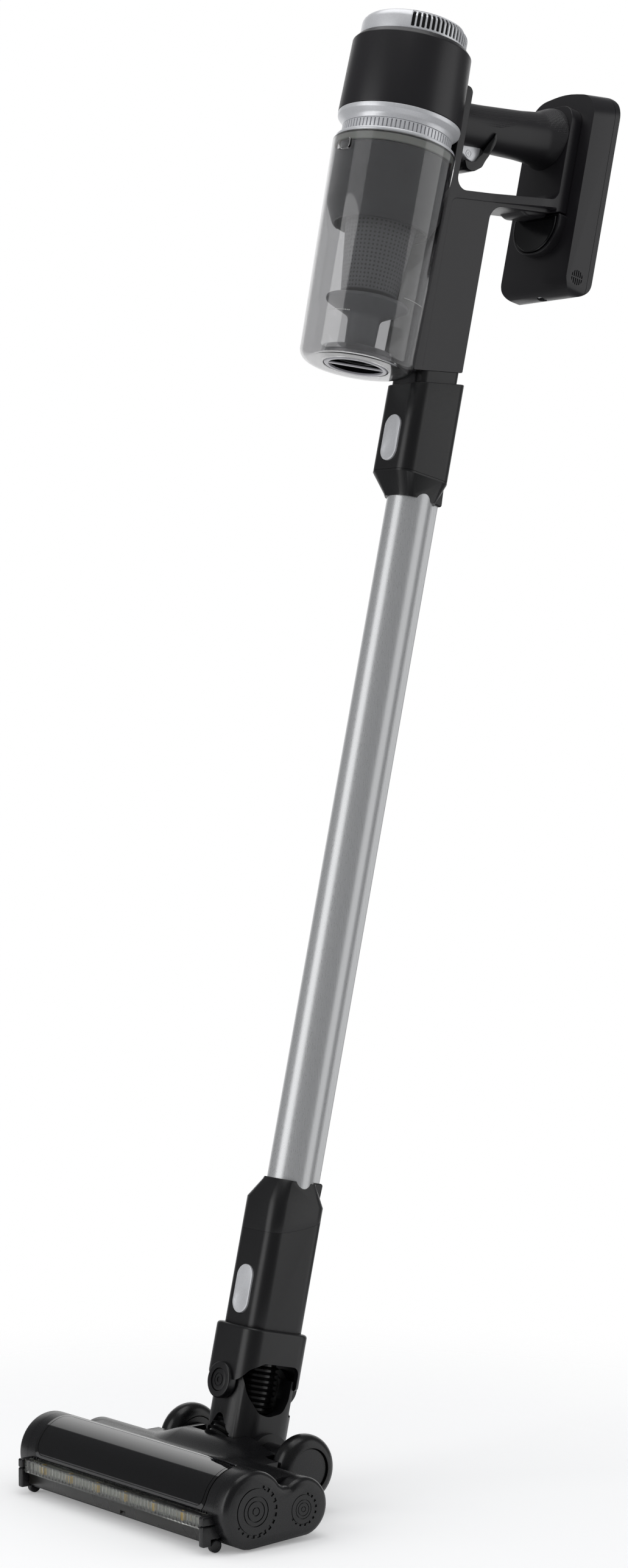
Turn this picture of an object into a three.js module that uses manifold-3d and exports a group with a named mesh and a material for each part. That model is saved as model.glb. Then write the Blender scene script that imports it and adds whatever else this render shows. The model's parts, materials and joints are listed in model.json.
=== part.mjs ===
// Cordless stick vacuum, in millimetres, +Z up, with its origin at the centre of the hand grip.
// The cleaning head faces -Y and stands flat; the wand leans back towards +Y.
// Wand, neck and handheld are drawn in the wand's own frame: z runs up the tube's centre line from the
// height of the wheel axle, y points to the back and x to the side. The head is drawn from the floor up.
import * as THREE from 'three';
import { mergeVertices } from 'three/addons/utils/BufferGeometryUtils.js';
import Module from 'manifold-3d';

const wasm = await Module();
wasm.setup();

// ---- clearances -------------------------------------------------------------------------------
const SEAM = 0.3;              // gap between two fixed pieces that meet
const RUNNING = 0.6;           // gap round a piece that turns or slides
const OVERSHOOT = 1;           // how far a cutting shape runs past the face that it cuts

// ---- stance -----------------------------------------------------------------------------------
const LEAN = THREE.MathUtils.degToRad(13);      // wand leaning back from upright
const AXLE_Y = 126;            // wheel axle and neck pitch axis, behind the head's front
const AXLE_Z = 36;             // the same axis, above the floor
const WAND_AHEAD = 2.5;        // tube centre line ahead of the axle

// ---- wand -------------------------------------------------------------------------------------
const TUBE_R = 18.6;
const TUBE_WALL = 1.6;
const TUBE_BOTTOM = 204;
const TUBE_LENGTH = 573;
const TUBE_TOP = TUBE_BOTTOM + TUBE_LENGTH;
const RIB_HALF = 9;            // wire channel along the back of the tube
const RIB_BACK = 23.5;
const RIB_WALL = 1.3;
const COLLAR_W = 46;           // collars at both ends of the wand share this section
const COLLAR_D = 52;
const COLLAR_CORNER = 11;
const COLLAR_WALL = 3;
const UPPER_COLLAR_Y = -4;     // centre of the section
const UPPER_COLLAR_BOTTOM = TUBE_TOP + 9;
const UPPER_COLLAR_HEIGHT = 77.8;
const UPPER_COLLAR_TOP = UPPER_COLLAR_BOTTOM + UPPER_COLLAR_HEIGHT;
const LOWER_COLLAR_Y = -1.2;
const LOWER_SEAM_FRONT = 171.3;
const LOWER_SEAM_BACK = 187;
const CONE_HEIGHT = 17.3;
const UPPER_CONE_BAND = 1.5;
const LOWER_CONE_TOP = 213.8;
const CONE_END_WALL = 2;       // cone wall where it closes on the tube
const HANDLE_RISE = Math.tan(THREE.MathUtils.degToRad(13));   // slope of the grip, bridge and wand joint
const BUTTON_W = 19;
const BUTTON_H = 38;
const BUTTON_THICK = 5;
const BUTTON_PROUD = 1.5;
const BUTTON_TRAVEL = 2.5;
const UPPER_BUTTON_Z = UPPER_COLLAR_BOTTOM + 26;
const LOWER_BUTTON_Z = 125;

// ---- neck -------------------------------------------------------------------------------------
const SLEEVE_W = 54;
const SLEEVE_D = 62;
const SLEEVE_CORNER = 13.3;
const SLEEVE_WALL = 4;
const SLEEVE_TOP = 97;
const SLEEVE_BEVEL = 3;
const INLET_BOTTOM = 80;
const ROLL_Z = 53;             // height of the side-to-side pivot
const BOSS_R = 14;
const BOSS_PROUD = 3.5;
const BOSS_PIN_R = 8.5;
const SIDE_ARCH_TOP = 71;
const EAR_BOTTOM = 45;
const YOKE_W = 52;
const YOKE_D = 58;
const YOKE_Y = 1.5;
const YOKE_CORNER = 18;
const YOKE_WALL = 4;
const YOKE_SHOULDER = 36;      // top of the yoke's side walls
const YOKE_WINDOW_BOTTOM = 31;
const BARREL_R = 19;
const BARREL_HALF = 31;
const HOSE_R = 16;
const HOSE_RIB = 1.6;
const HOSE_WALL = 1.4;
const HOSE_PITCH = 8;
const HOSE_TOP = 78;
const HOSE_JOIN = 22;          // height in the yoke where the two hoses meet
const AXLE_R = 4;
const LOWER_HOSE_R = 13.5;
const HOSE_END_Y = 97;         // where the lower hose meets the head's dust way
const HOSE_END_Z = 31;

// ---- floor head -------------------------------------------------------------------------------
const HEAD_HALF = 137;
const CAP_THICK = 14;
const CAP_BEVEL = 5;
const BRUSH_Y = 33;
const BRUSH_Z = 29.5;
const BRUSH_HOUSING_R = 29;
const REAR_Y = 79;
const REAR_Z = 25.5;
const REAR_R = 22;
const HEAD_WALL = 2.4;
const SOLE_Z = 1.6;
const SPLIT_Z = 21;            // seam between the base and the cover
const MOUTH_FRONT = 12;
const MOUTH_BACK = 50;
const ROLLER_R = 21;
const ROLLER_CORE_R = 15;
const ROLLER_HALF = HEAD_HALF - 26;
const ROLLER_PIN_R = 3.5;
const WINDOW_HALF = HEAD_HALF - 24;
const WINDOW_LOW = 181;        // where the window starts, in degrees round the brush axis from the back
const WINDOW_HIGH = 82;
const WINDOW_THICK = 2;
const LAMP_TOP = 28;
const LAMP_BOTTOM = 17.6;
const LAMP_FRONT = -3;
const LAMP_HALF = HEAD_HALF - 20;
const LAMP_DEPTH = 8;
const LAMP_COUNT = 6;
const LAMP_PITCH = 37;
const STRIP_BOTTOM = 8;
const STRIP_THICK = 2.6;
const STRIP_FRONT = 1.4;
const NOTCH_FROM = 7;
const NOTCH_TO = 16;
const CASTER_X = HEAD_HALF - 17.5;
const CASTER_Y = 8;
const CASTER_R = 5;
const CASTER_W = 5;
const CASTER_PIN_R = 1.5;
const WHEEL_R = 26.6;
const WHEEL_INNER = 63;
const WHEEL_OUTER = 83;
const HUB_R = 17;
const CHEEK_R = 23;
const CHEEK_OUTER = 61;
const SADDLE_FRONT_Y = 93;
const SADDLE_TOP_Z = 56;
const MOTOR_R = 15;
const MOTOR_INNER = 32;        // brush motor's inner and outer ends
const MOTOR_OUTER = HEAD_HALF - 31;
const CAP_HOLLOW = 10;
const PULLEY_X = HEAD_HALF - 8;   // middle of the belt, inside the drive end cap
const PULLEY_W = 5;
const MOTOR_PULLEY_R = 7;
const BRUSH_PULLEY_R = 13;
const BELT_THICK = 1.4;

// ---- handheld: cyclone and motor --------------------------------------------------------------
const CUP_Y = -78;             // centre line of cup and motor, ahead of the tube
const CUP_HEIGHT = 180.5;
const CUP_BASE = UPPER_COLLAR_TOP - 7.3;
const CUP_TOP = CUP_BASE + CUP_HEIGHT;
const CUP_TOP_R = 50.2;
const CUP_LOW = CUP_BASE + 9.5;   // top of the rounding at the cup's base
const CUP_LOW_R = 46.6;
const CUP_WALL = 2.2;
const CUP_SEAL_HEIGHT = 6;
const KNOB_R = 26;
const KNOB_WELL_R = 22;
const KNOB_DEPTH = 9;
const KNOB_BAR = 4;
const KNOB_REST = 50;          // degrees by which the locked bar is turned from across the cup
const SHROUD_R = 46;
const SHROUD_LIP_R = 39;
const SHROUD_LIP_Z = CUP_TOP - 68;
const FILTER_TOP_R = 28;
const FILTER_LOW_R = 22.5;
const FILTER_LOW_Z = SHROUD_LIP_Z - 54;
const SKIRT_R = 33;
const SKIRT_Z = FILTER_LOW_Z - 10;
const DUCT_TUBE_R = 13;
const HOUSING_LOW_R = 50;
const HOUSING_TOP_R = 48.4;
const HOUSING_WALL = 2.4;
const HOUSING_CHAMFER = 4;
const HOUSING_HEIGHT = 60;
const FLUTE_LOW = CUP_TOP + 4;
const FLARE_LOW = FLUTE_LOW + 8.5;
const HOUSING_LOW = FLARE_LOW + 10.5;
const HOUSING_TOP = HOUSING_LOW + HOUSING_HEIGHT;
const EXHAUST_R = 43.5;
const EXHAUST_HEIGHT = 17.5;
const EXHAUST_TOP = HOUSING_TOP + HOUSING_CHAMFER + EXHAUST_HEIGHT;
const EXHAUST_EDGE = 7;
const LOUVRE_PITCH = 11;        // degrees
const LOUVRE_START = 48.5;       // degrees each side of the front where the louvres begin
const LOUVRE_W = 4;
const LOUVRE_H = 9.6;
const LOUVRE_LOW = EXHAUST_TOP - LOUVRE_H - 3.9;
const FLUTE_R = 44.6;
const FLUTE_COUNT = 48;
const FLUTE_DEPTH = 0.9;
const LIP_R = 48.6;
const RING_BORE_R = 36;
const IMPELLER_R = 23;
const MOTOR_CAN_R = 26;
const MOTOR_CAN_HEIGHT = 34;
const MOTOR_CAN_LOW = HOUSING_TOP - MOTOR_CAN_HEIGHT - 8;
const MOTOR_CAN_TOP = MOTOR_CAN_LOW + MOTOR_CAN_HEIGHT;
const SHAFT_R = 2.5;

// ---- handheld: spine and handle ---------------------------------------------------------------
const SPINE_HALF = 20.5;
const SPINE_BACK = 15;
const SPINE_BOTTOM = UPPER_COLLAR_TOP + 9.9;   // at the tube's centre line
const SPINE_THIN_BACK = -25;
const TONGUE_TOP = HOUSING_TOP - 15;
const DUCT_R = 14;
const DUCT_Y = -7;
const PORT_HALF = 11;
const PORT_LOW = SHROUD_LIP_Z + 7;
const PORT_HIGH = PORT_LOW + 22;
const DUCT_TOP = PORT_HIGH + 2;
const SPIGOT_R = 15.5;
const SPIGOT_WALL = 2;
const SPIGOT_LOW = UPPER_COLLAR_TOP - 35.8;   // lower end of the pipe that plugs into the wand
const BAND_W = 40;
const BAND_D = 42;
const BRIDGE_TOP = HOUSING_TOP - 94.7;   // at the tube's centre line
const BRIDGE_THICK = 10;
const WEB_DEPTH = 6;
const PLATE_FRONT = 77;
const PLATE_HALF = 27.3;
const PLATE_TOP = BRIDGE_TOP + 100.7;
const PLATE_LOW = BRIDGE_TOP + 10.7;
const GRIP_R = 18.6;
const GRIP_REAR_R = 21;
const GRIP_FLARE_R = 25;
const GRIP_Z = BRIDGE_TOP + 62.2;   // height of the grip's centre
const GRIP_Y = 25;
const GRIP_ANGLE = THREE.MathUtils.degToRad(11);
const GUARD_W = 17;
const TRIGGER_W = 11.5;
const TRIGGER_TRAVEL = 4;

// ---- handheld: battery ------------------------------------------------------------------------
const BATTERY_FRONT = 88.5;
const BATTERY_BACK = 117.5;
const BATTERY_SEAM = 112.3;
const BATTERY_HALF = 40.5;
const BATTERY_HEIGHT = 174.7;
const BATTERY_LOW = BRIDGE_TOP - 58;
const BATTERY_TOP = BATTERY_LOW + BATTERY_HEIGHT;
const BATTERY_WALL = 2;
const BOSS_FRONT = 81;         // raised housing of the battery's release tab
const TAB_FRONT = 79;
const TAB_HALF = 25;
const TAB_HEIGHT = 30;
const TAB_TOP = BRIDGE_TOP + 5.7;
const TAB_TRAVEL = 2.5;
const TAB_THICK = 4;
const CELL_R = 9.1;
const CELL_LENGTH = 65;
const CELL_PITCH = 19;
const CELL_COUNT = Math.floor((BATTERY_HEIGHT - 60) / CELL_PITCH);
const FIRST_CELL_Z = BATTERY_LOW + 26.7;
const CELL_Y = 101.5;
const TAB_STRIP = 0.8;         // thickness of the metal strips that join the cells
const JACK_R = 4;

// ---- finishes ---------------------------------------------------------------------------------
const finish = (color, roughness, metalness = 0) => ({ color, roughness, metalness });
const MATT_BLACK = finish(0x232225, 0.55);
const GLOSS_BLACK = finish(0x151517, 0.25);
const SATIN_SILVER = finish(0xc4c5c9, 0.35, 0.8);
const TUBE_SILVER = finish(0xb9babb, 0.32, 0.9);
const SMOKE = { ...finish(0x6f706c, 0.08), transparent: true, opacity: 0.45 };
const DARK_GREY = finish(0x3a3a3d, 0.5);
const RUBBER = finish(0x1b1b1c, 0.7);
const STEEL = finish(0x9a9b9e, 0.3, 1);
const BOARD_GREEN = finish(0x1f5a3a, 0.6);
const CELL_BLUE = finish(0x3d6fa8, 0.45);
const PALE_GREY = finish(0xb9b9b2, 0.5);
const FILTER_FELT = finish(0x3a3a3c, 0.95);
const BRISTLE = finish(0x2c3a4c, 0.9);
const LAMP_AMBER = finish(0xd6b84a, 0.4);

// ---- solids -----------------------------------------------------------------------------------
// Turns a closed geometry into a solid whose faces point outwards.
function solid(geometry) {
  const bare = geometry.index ? geometry.toNonIndexed() : geometry.clone();
  bare.deleteAttribute('normal');
  bare.deleteAttribute('uv');
  const merged = mergeVertices(bare, 1e-4);
  const points = merged.attributes.position.array;
  const corner = (index) => new THREE.Vector3().fromArray(points, index * 3);
  const faces = [];
  let volume = 0;
  for (let i = 0; i < merged.index.count; i += 3) {
    const [a, b, c] = [0, 1, 2].map((k) => merged.index.array[i + k]);
    if (a === b || b === c || c === a) continue;
    faces.push([a, b, c]);
    volume += corner(a).dot(corner(b).cross(corner(c)));
  }
  const order = volume < 0 ? faces.map(([a, b, c]) => [a, c, b]) : faces;
  const mesh = new wasm.Mesh({
    numProp: 3,
    vertProperties: new Float32Array(points),
    triVerts: new Uint32Array(order.flat()),
  });
  return new wasm.Manifold(mesh);
}

const joined = (first, ...rest) => rest.reduce((whole, piece) => whole.add(piece), first);
const cut = (body, ...tools) => tools.reduce((whole, tool) => whole.subtract(tool), body);

// Closed outline from corners [u, v, radius]; a rounded corner is a true arc in steps of `step` degrees.
function outline(corners, step = 24) {
  const points = [];
  corners.forEach(([u, v, radius = 0], i) => {
    const here = new THREE.Vector2(u, v);
    if (radius === 0) {
      points.push(here);
      return;
    }
    const [pu, pv] = corners[(i + corners.length - 1) % corners.length];
    const [nu, nv] = corners[(i + 1) % corners.length];
    const back = new THREE.Vector2(pu - u, pv - v).normalize();
    const ahead = new THREE.Vector2(nu - u, nv - v).normalize();
    const half = Math.acos(THREE.MathUtils.clamp(back.dot(ahead), -1, 1)) / 2;
    const inward = back.clone().add(ahead).normalize();
    const centre = here.clone().addScaledVector(inward, radius / Math.sin(half));
    const from = here.clone().addScaledVector(back, radius / Math.tan(half)).sub(centre);
    const sweep = Math.PI - 2 * half;
    const turn = Math.sign(from.x * -inward.y - from.y * -inward.x);
    const count = Math.max(1, Math.round(THREE.MathUtils.radToDeg(sweep) / step));
    for (let k = 0; k <= count; k += 1) {
      points.push(from.clone().rotateAround(new THREE.Vector2(), (turn * sweep * k) / count).add(centre));
    }
  });
  return points;
}

const box2 = (u0, u1, v0, v1, radius = 0) =>
  outline([[u0, v0, radius], [u1, v0, radius], [u1, v1, radius], [u0, v1, radius]]);

// Number of flats on a round surface.
const facets = (radius) => (radius < 6 ? 10 : radius < 12 ? 14 : radius < 30 ? 22 : 30);

const circle2 = (u, v, radius, count = facets(radius)) => Array.from({ length: count }, (_, k) => {
  const angle = (2 * Math.PI * k) / count;
  return new THREE.Vector2(u + radius * Math.cos(angle), v + radius * Math.sin(angle));
});

function extruded(points, depth) {
  return new THREE.ExtrudeGeometry(new THREE.Shape(points), { depth, bevelEnabled: false });
}

// Prisms along each axis: the outline's (u, v) is (x, y), (y, z) or (x, z).
function prismZ(points, z0, z1) {
  return solid(extruded(points, z1 - z0).translate(0, 0, z0));
}

const ALONG_X = new THREE.Matrix4().makeBasis(
  new THREE.Vector3(0, 1, 0), new THREE.Vector3(0, 0, 1), new THREE.Vector3(1, 0, 0));
const ALONG_Y = new THREE.Matrix4().makeBasis(
  new THREE.Vector3(1, 0, 0), new THREE.Vector3(0, 0, 1), new THREE.Vector3(0, -1, 0));

function prismX(points, x0, x1) {
  return solid(extruded(points, x1 - x0).applyMatrix4(ALONG_X).translate(x0, 0, 0));
}

function prismY(points, y0, y1) {
  return solid(extruded(points, y1 - y0).applyMatrix4(ALONG_Y).translate(0, y1, 0));
}

function block(x0, x1, y0, y1, z0, z1) {
  const shape = new THREE.BoxGeometry(x1 - x0, y1 - y0, z1 - z0);
  return solid(shape.translate((x0 + x1) / 2, (y0 + y1) / 2, (z0 + z1) / 2));
}

// Turned shape about the upright line through (x, y); profile points are [radius, z].
const widest = (profile) => Math.max(...profile.map(([radius]) => radius));

function turned(profile, x = 0, y = 0, segments = facets(widest(profile))) {
  const points = profile.map(([radius, z]) => new THREE.Vector2(radius, z));
  return solid(new THREE.LatheGeometry(points, segments).rotateX(Math.PI / 2).translate(x, y, 0));
}

function ring(outer, inner, z0, z1, x = 0, y = 0, segments = facets(outer)) {
  return turned([[inner, z0], [outer, z0], [outer, z1], [inner, z1], [inner, z0]], x, y, segments);
}

// Round bar along X, from x0 to x1, about the line through (y, z).
function barX(radius, x0, x1, y, z, segments = facets(radius)) {
  const shape = new THREE.CylinderGeometry(radius, radius, x1 - x0, segments).rotateZ(Math.PI / 2);
  return solid(shape.translate((x0 + x1) / 2, y, z));
}

function barY(radius, y0, y1, x, z, segments = facets(radius)) {
  const shape = new THREE.CylinderGeometry(radius, radius, y1 - y0, segments);
  return solid(shape.translate(x, (y0 + y1) / 2, z));
}

function barZ(radius, z0, z1, x, y, segments = facets(radius)) {
  const shape = new THREE.CylinderGeometry(radius, radius, z1 - z0, segments).rotateX(Math.PI / 2);
  return solid(shape.translate(x, y, (z0 + z1) / 2));
}

// Turned shape about a line along X through (y, z); profile points are [radius, x].
function turnedX(profile, y, z, segments = facets(widest(profile))) {
  const points = profile.map(([radius, x]) => new THREE.Vector2(radius, x));
  return solid(new THREE.LatheGeometry(points, segments).rotateZ(-Math.PI / 2).translate(0, y, z));
}

// Everything above (or below) a plane that rises to the back by HANDLE_RISE and crosses y = 0 at height z.
const FAR = 400;
function aboveRise(z) {
  return prismX([[-FAR, z - FAR * HANDLE_RISE], [FAR, z + FAR * HANDLE_RISE], [FAR, z + 3 * FAR],
    [-FAR, z + 3 * FAR]].map(([u, v]) => new THREE.Vector2(u, v)), -FAR, FAR);
}

function belowRise(z) {
  return prismX([[-FAR, z - FAR * HANDLE_RISE], [-FAR, z - 3 * FAR], [FAR, z - 3 * FAR],
    [FAR, z + FAR * HANDLE_RISE]].map(([u, v]) => new THREE.Vector2(u, v)), -FAR, FAR);
}

// ---- scene graph ------------------------------------------------------------------------------
const group = new THREE.Group();
const stick = new THREE.Group();
const head = new THREE.Group();
group.add(head, stick);
stick.rotation.x = -LEAN;
stick.position.set(0, AXLE_Y, AXLE_Z).add(
  new THREE.Vector3(0, -WAND_AHEAD, 0).applyEuler(stick.rotation));

function piece(parent, name, shape, material) {
  const data = shape.getMesh();
  const geometry = new THREE.BufferGeometry();
  const points = new Float32Array(data.numVert * 3);
  for (let i = 0; i < data.numVert; i += 1) {
    for (let k = 0; k < 3; k += 1) points[i * 3 + k] = data.vertProperties[i * data.numProp + k];
  }
  geometry.setAttribute('position', new THREE.BufferAttribute(points, 3));
  geometry.setIndex(new THREE.BufferAttribute(new Uint32Array(data.triVerts), 1));
  geometry.computeVertexNormals();
  const mesh = new THREE.Mesh(geometry, new THREE.MeshStandardMaterial(material));
  mesh.name = name;
  parent.add(mesh);
}

// ---- wand -------------------------------------------------------------------------------------
const collarOutline = (centre, grow = 0) => box2(-COLLAR_W / 2 - grow, COLLAR_W / 2 + grow,
  centre - COLLAR_D / 2 - grow, centre + COLLAR_D / 2 + grow, COLLAR_CORNER + grow);

const tubeSection = (grow, z0, z1) => joined(
  barZ(TUBE_R + grow, z0, z1, 0, 0),
  block(-RIB_HALF - grow, RIB_HALF + grow, 0, RIB_BACK + grow, z0, z1));

function buildTube() {
  const wires = block(-RIB_HALF + RIB_WALL, RIB_HALF - RIB_WALL, TUBE_R, RIB_BACK - RIB_WALL,
    TUBE_BOTTOM - OVERSHOOT, TUBE_TOP + OVERSHOOT);
  const bore = barZ(TUBE_R - TUBE_WALL, TUBE_BOTTOM - OVERSHOOT, TUBE_TOP + OVERSHOOT, 0, 0);
  piece(stick, 'wand_tube', cut(tubeSection(0, TUBE_BOTTOM, TUBE_TOP), bore, wires), TUBE_SILVER);
}

// Tapered end of a collar: the collar's section at `wide`, closing on the tube at `narrow`.
function cone(centre, wide, narrow) {
  const base = collarOutline(centre);
  const count = base.length;
  const neck = TUBE_R + CONE_END_WALL;
  const points = [];
  const faces = [];
  base.forEach((p) => points.push(p.x, p.y, wide));
  base.forEach((p) => {
    const reach = Math.hypot(p.x, p.y - centre);
    points.push((p.x / reach) * neck, ((p.y - centre) / reach) * neck, narrow);
  });
  for (let k = 0; k < count; k += 1) {
    const next = (k + 1) % count;
    faces.push(k, next, count + next, k, count + next, count + k);
  }
  for (let k = 1; k < count - 1; k += 1) {
    faces.push(0, k + 1, k);
    faces.push(count, count + k, count + k + 1);
  }
  const shape = new THREE.BufferGeometry();
  shape.setAttribute('position', new THREE.Float32BufferAttribute(points, 3));
  shape.setIndex(faces);
  return solid(shape);
}

const ribCover = (z0, z1) => block(-RIB_HALF - CONE_END_WALL, RIB_HALF + CONE_END_WALL, 0,
  RIB_BACK + CONE_END_WALL - SEAM, z0, z1);

function buttonPocket(faceY, z) {
  return prismY(box2(-BUTTON_W / 2 - RUNNING / 2, BUTTON_W / 2 + RUNNING / 2,
    z - BUTTON_H / 2 - RUNNING / 2, z + BUTTON_H / 2 + RUNNING / 2, BUTTON_W / 2 + RUNNING / 2 - 0.01),
  faceY - OVERSHOOT, faceY + BUTTON_THICK - BUTTON_PROUD + BUTTON_TRAVEL + RUNNING);
}

function button(name, faceY, z) {
  const front = faceY - BUTTON_PROUD;
  const pill = prismY(box2(-BUTTON_W / 2, BUTTON_W / 2, z - BUTTON_H / 2, z + BUTTON_H / 2,
    BUTTON_W / 2 - 0.01), front, front + BUTTON_THICK);
  const dimple = solid(new THREE.SphereGeometry(9, 20, 12).translate(0, front - 8, z - BUTTON_H / 4));
  piece(stick, name, cut(pill, dimple), SATIN_SILVER);
}

function buildUpperCollar() {
  const face = UPPER_COLLAR_Y - COLLAR_D / 2;
  const outer = prismZ(collarOutline(UPPER_COLLAR_Y), UPPER_COLLAR_BOTTOM, UPPER_COLLAR_TOP + 20);
  const socket = barZ(SPIGOT_R + SEAM, SPIGOT_LOW - SEAM, UPPER_COLLAR_TOP + 30, 0, DUCT_Y);
  const passage = barZ(SPIGOT_R - SPIGOT_WALL, UPPER_COLLAR_BOTTOM - OVERSHOOT, SPIGOT_LOW + OVERSHOOT,
    0, DUCT_Y / 2);
  const collar = cut(outer, aboveRise(UPPER_COLLAR_TOP), socket, passage, buttonPocket(face, UPPER_BUTTON_Z),
    tubeSection(SEAM, UPPER_COLLAR_BOTTOM - OVERSHOOT, TUBE_TOP + 14));
  piece(stick, 'wand_upper_collar', collar, MATT_BLACK);
  button('wand_release_button', face, UPPER_BUTTON_Z);
  const coneTop = UPPER_COLLAR_BOTTOM - UPPER_CONE_BAND;
  const coneBody = joined(
    prismZ(collarOutline(UPPER_COLLAR_Y), coneTop, UPPER_COLLAR_BOTTOM - SEAM),
    cone(UPPER_COLLAR_Y, coneTop, coneTop - CONE_HEIGHT),
    ribCover(coneTop - CONE_HEIGHT - 1.5, UPPER_COLLAR_BOTTOM - SEAM - 6)
      .intersect(cone(UPPER_COLLAR_Y, coneTop, coneTop - CONE_HEIGHT * 3)
        .add(prismZ(collarOutline(UPPER_COLLAR_Y, -1), coneTop, UPPER_COLLAR_BOTTOM))
        .add(block(-RIB_HALF - 2, RIB_HALF + 2, 0, RIB_BACK + 1.5, coneTop - 25, coneTop))));
  piece(stick, 'wand_upper_cone', cut(coneBody, tubeSection(SEAM, coneTop - 60, TUBE_TOP + SEAM),
    tubeSection(SEAM, TUBE_TOP, UPPER_COLLAR_BOTTOM + 1)), MATT_BLACK);
}

// Space above the curved seam of the lower collar, level at the front and rising to the back.
function aboveLowerSeam(shift) {
  const front = LOWER_COLLAR_Y - COLLAR_D / 2;
  const curve = [];
  const steps = 8;
  for (let k = 0; k <= steps; k += 1) {
    const along = k / steps;
    const rise = (LOWER_SEAM_BACK - LOWER_SEAM_FRONT) * Math.pow(along, 1.6);
    curve.push(new THREE.Vector2(front + COLLAR_D * along, LOWER_SEAM_FRONT + rise + shift));
  }
  const back = curve[steps];
  curve.push(new THREE.Vector2(back.x + 20, back.y + 8), new THREE.Vector2(back.x + 20, back.y + 200));
  curve.push(new THREE.Vector2(front - 20, back.y + 200), new THREE.Vector2(front - 20, curve[0].y));
  return prismX(curve, -FAR / 4, FAR / 4);
}

function buildLowerCollar() {
  const coneBase = LOWER_CONE_TOP - CONE_HEIGHT;
  const body = joined(
    prismZ(collarOutline(LOWER_COLLAR_Y), LOWER_SEAM_FRONT - 4, coneBase),
    cone(LOWER_COLLAR_Y, coneBase, LOWER_CONE_TOP),
    ribCover(coneBase - 6, LOWER_CONE_TOP + 1.5));
  const bore = barZ(TUBE_R - TUBE_WALL, LOWER_SEAM_FRONT - 10, TUBE_BOTTOM + OVERSHOOT, 0, 0);
  const leadWay = block(-RIB_HALF, RIB_HALF, TUBE_R - TUBE_WALL - 2, RIB_BACK - RIB_WALL,
    LOWER_SEAM_FRONT - 10, TUBE_BOTTOM);
  piece(stick, 'wand_lower_collar', cut(body.intersect(aboveLowerSeam(SEAM)), bore, leadWay,
    tubeSection(SEAM, TUBE_BOTTOM - SEAM, LOWER_CONE_TOP + 10)), MATT_BLACK);
}

// ---- neck -------------------------------------------------------------------------------------
const sleeveY = LOWER_COLLAR_Y - 0.6;
const sleeveOutline = (inset) => box2(-SLEEVE_W / 2 + inset, SLEEVE_W / 2 - inset,
  sleeveY - SLEEVE_D / 2 + inset, sleeveY + SLEEVE_D / 2 - inset, SLEEVE_CORNER - inset);
const sleeveFront = sleeveY - SLEEVE_D / 2;
const sleeveBack = sleeveY + SLEEVE_D / 2;

function buildInlet() {
  const face = LOWER_COLLAR_Y - COLLAR_D / 2;
  const body = prismZ(collarOutline(LOWER_COLLAR_Y), INLET_BOTTOM, LOWER_SEAM_BACK + 20);
  const bore = barZ(TUBE_R - TUBE_WALL, INLET_BOTTOM - OVERSHOOT, LOWER_SEAM_BACK + 30, 0, 0);
  piece(stick, 'head_inlet', cut(body, aboveLowerSeam(0), bore,
    buttonPocket(face, LOWER_BUTTON_Z)), MATT_BLACK);
  button('head_release_button', face, LOWER_BUTTON_Z);
}

function buildSleeve() {
  const full = prismZ(sleeveOutline(0), EAR_BOTTOM - 20, SLEEVE_TOP - SLEEVE_BEVEL);
  const lip = prismZ(sleeveOutline(SLEEVE_BEVEL * 0.6), SLEEVE_TOP - SLEEVE_BEVEL, SLEEVE_TOP);
  const frontEar = barY(BOSS_R, sleeveFront - BOSS_PROUD, sleeveFront + SLEEVE_WALL, 0, ROLL_Z);
  const backEar = barY(BOSS_R, sleeveBack - SLEEVE_WALL, sleeveBack + BOSS_PROUD, 0, ROLL_Z);
  const hollow = prismZ(sleeveOutline(SLEEVE_WALL), EAR_BOTTOM - 30, INLET_BOTTOM - SEAM);
  const seat = prismZ(collarOutline(LOWER_COLLAR_Y, SEAM), INLET_BOTTOM - 2 * SEAM, SLEEVE_TOP + 10);
  const sideArch = prismX(outline([[sleeveFront + 9, EAR_BOTTOM - 30], [sleeveBack - 9, EAR_BOTTOM - 30],
    [sleeveBack - 9, SIDE_ARCH_TOP, 9], [sleeveFront + 20, SIDE_ARCH_TOP, 9],
    [sleeveFront + 9, ROLL_Z + 3, 4]]), -FAR / 4, FAR / 4);
  const below = cut(block(-FAR / 4, FAR / 4, -FAR / 4, FAR / 4, 0, ROLL_Z),
    prismY([...circle2(0, ROLL_Z, BOSS_R)], -FAR / 4 - 1, FAR / 4 + 1));
  const pinHole = barY(BOSS_PIN_R + SEAM, sleeveFront - 20, sleeveBack + 20, 0, ROLL_Z);
  piece(stick, 'neck_sleeve', cut(joined(full, lip, frontEar, backEar), hollow, seat, sideArch, below,
    pinHole), MATT_BLACK);
  const pinFace = BOSS_PROUD - 1;
  const tongue = SLEEVE_WALL + RUNNING;
  piece(stick, 'front_pivot_pin', barY(BOSS_PIN_R, sleeveFront - pinFace,
    sleeveFront + tongue + YOKE_WALL, 0, ROLL_Z), DARK_GREY);
  piece(stick, 'back_pivot_pin', barY(BOSS_PIN_R, sleeveBack - tongue - YOKE_WALL,
    sleeveBack + pinFace, 0, ROLL_Z), DARK_GREY);
}

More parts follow.
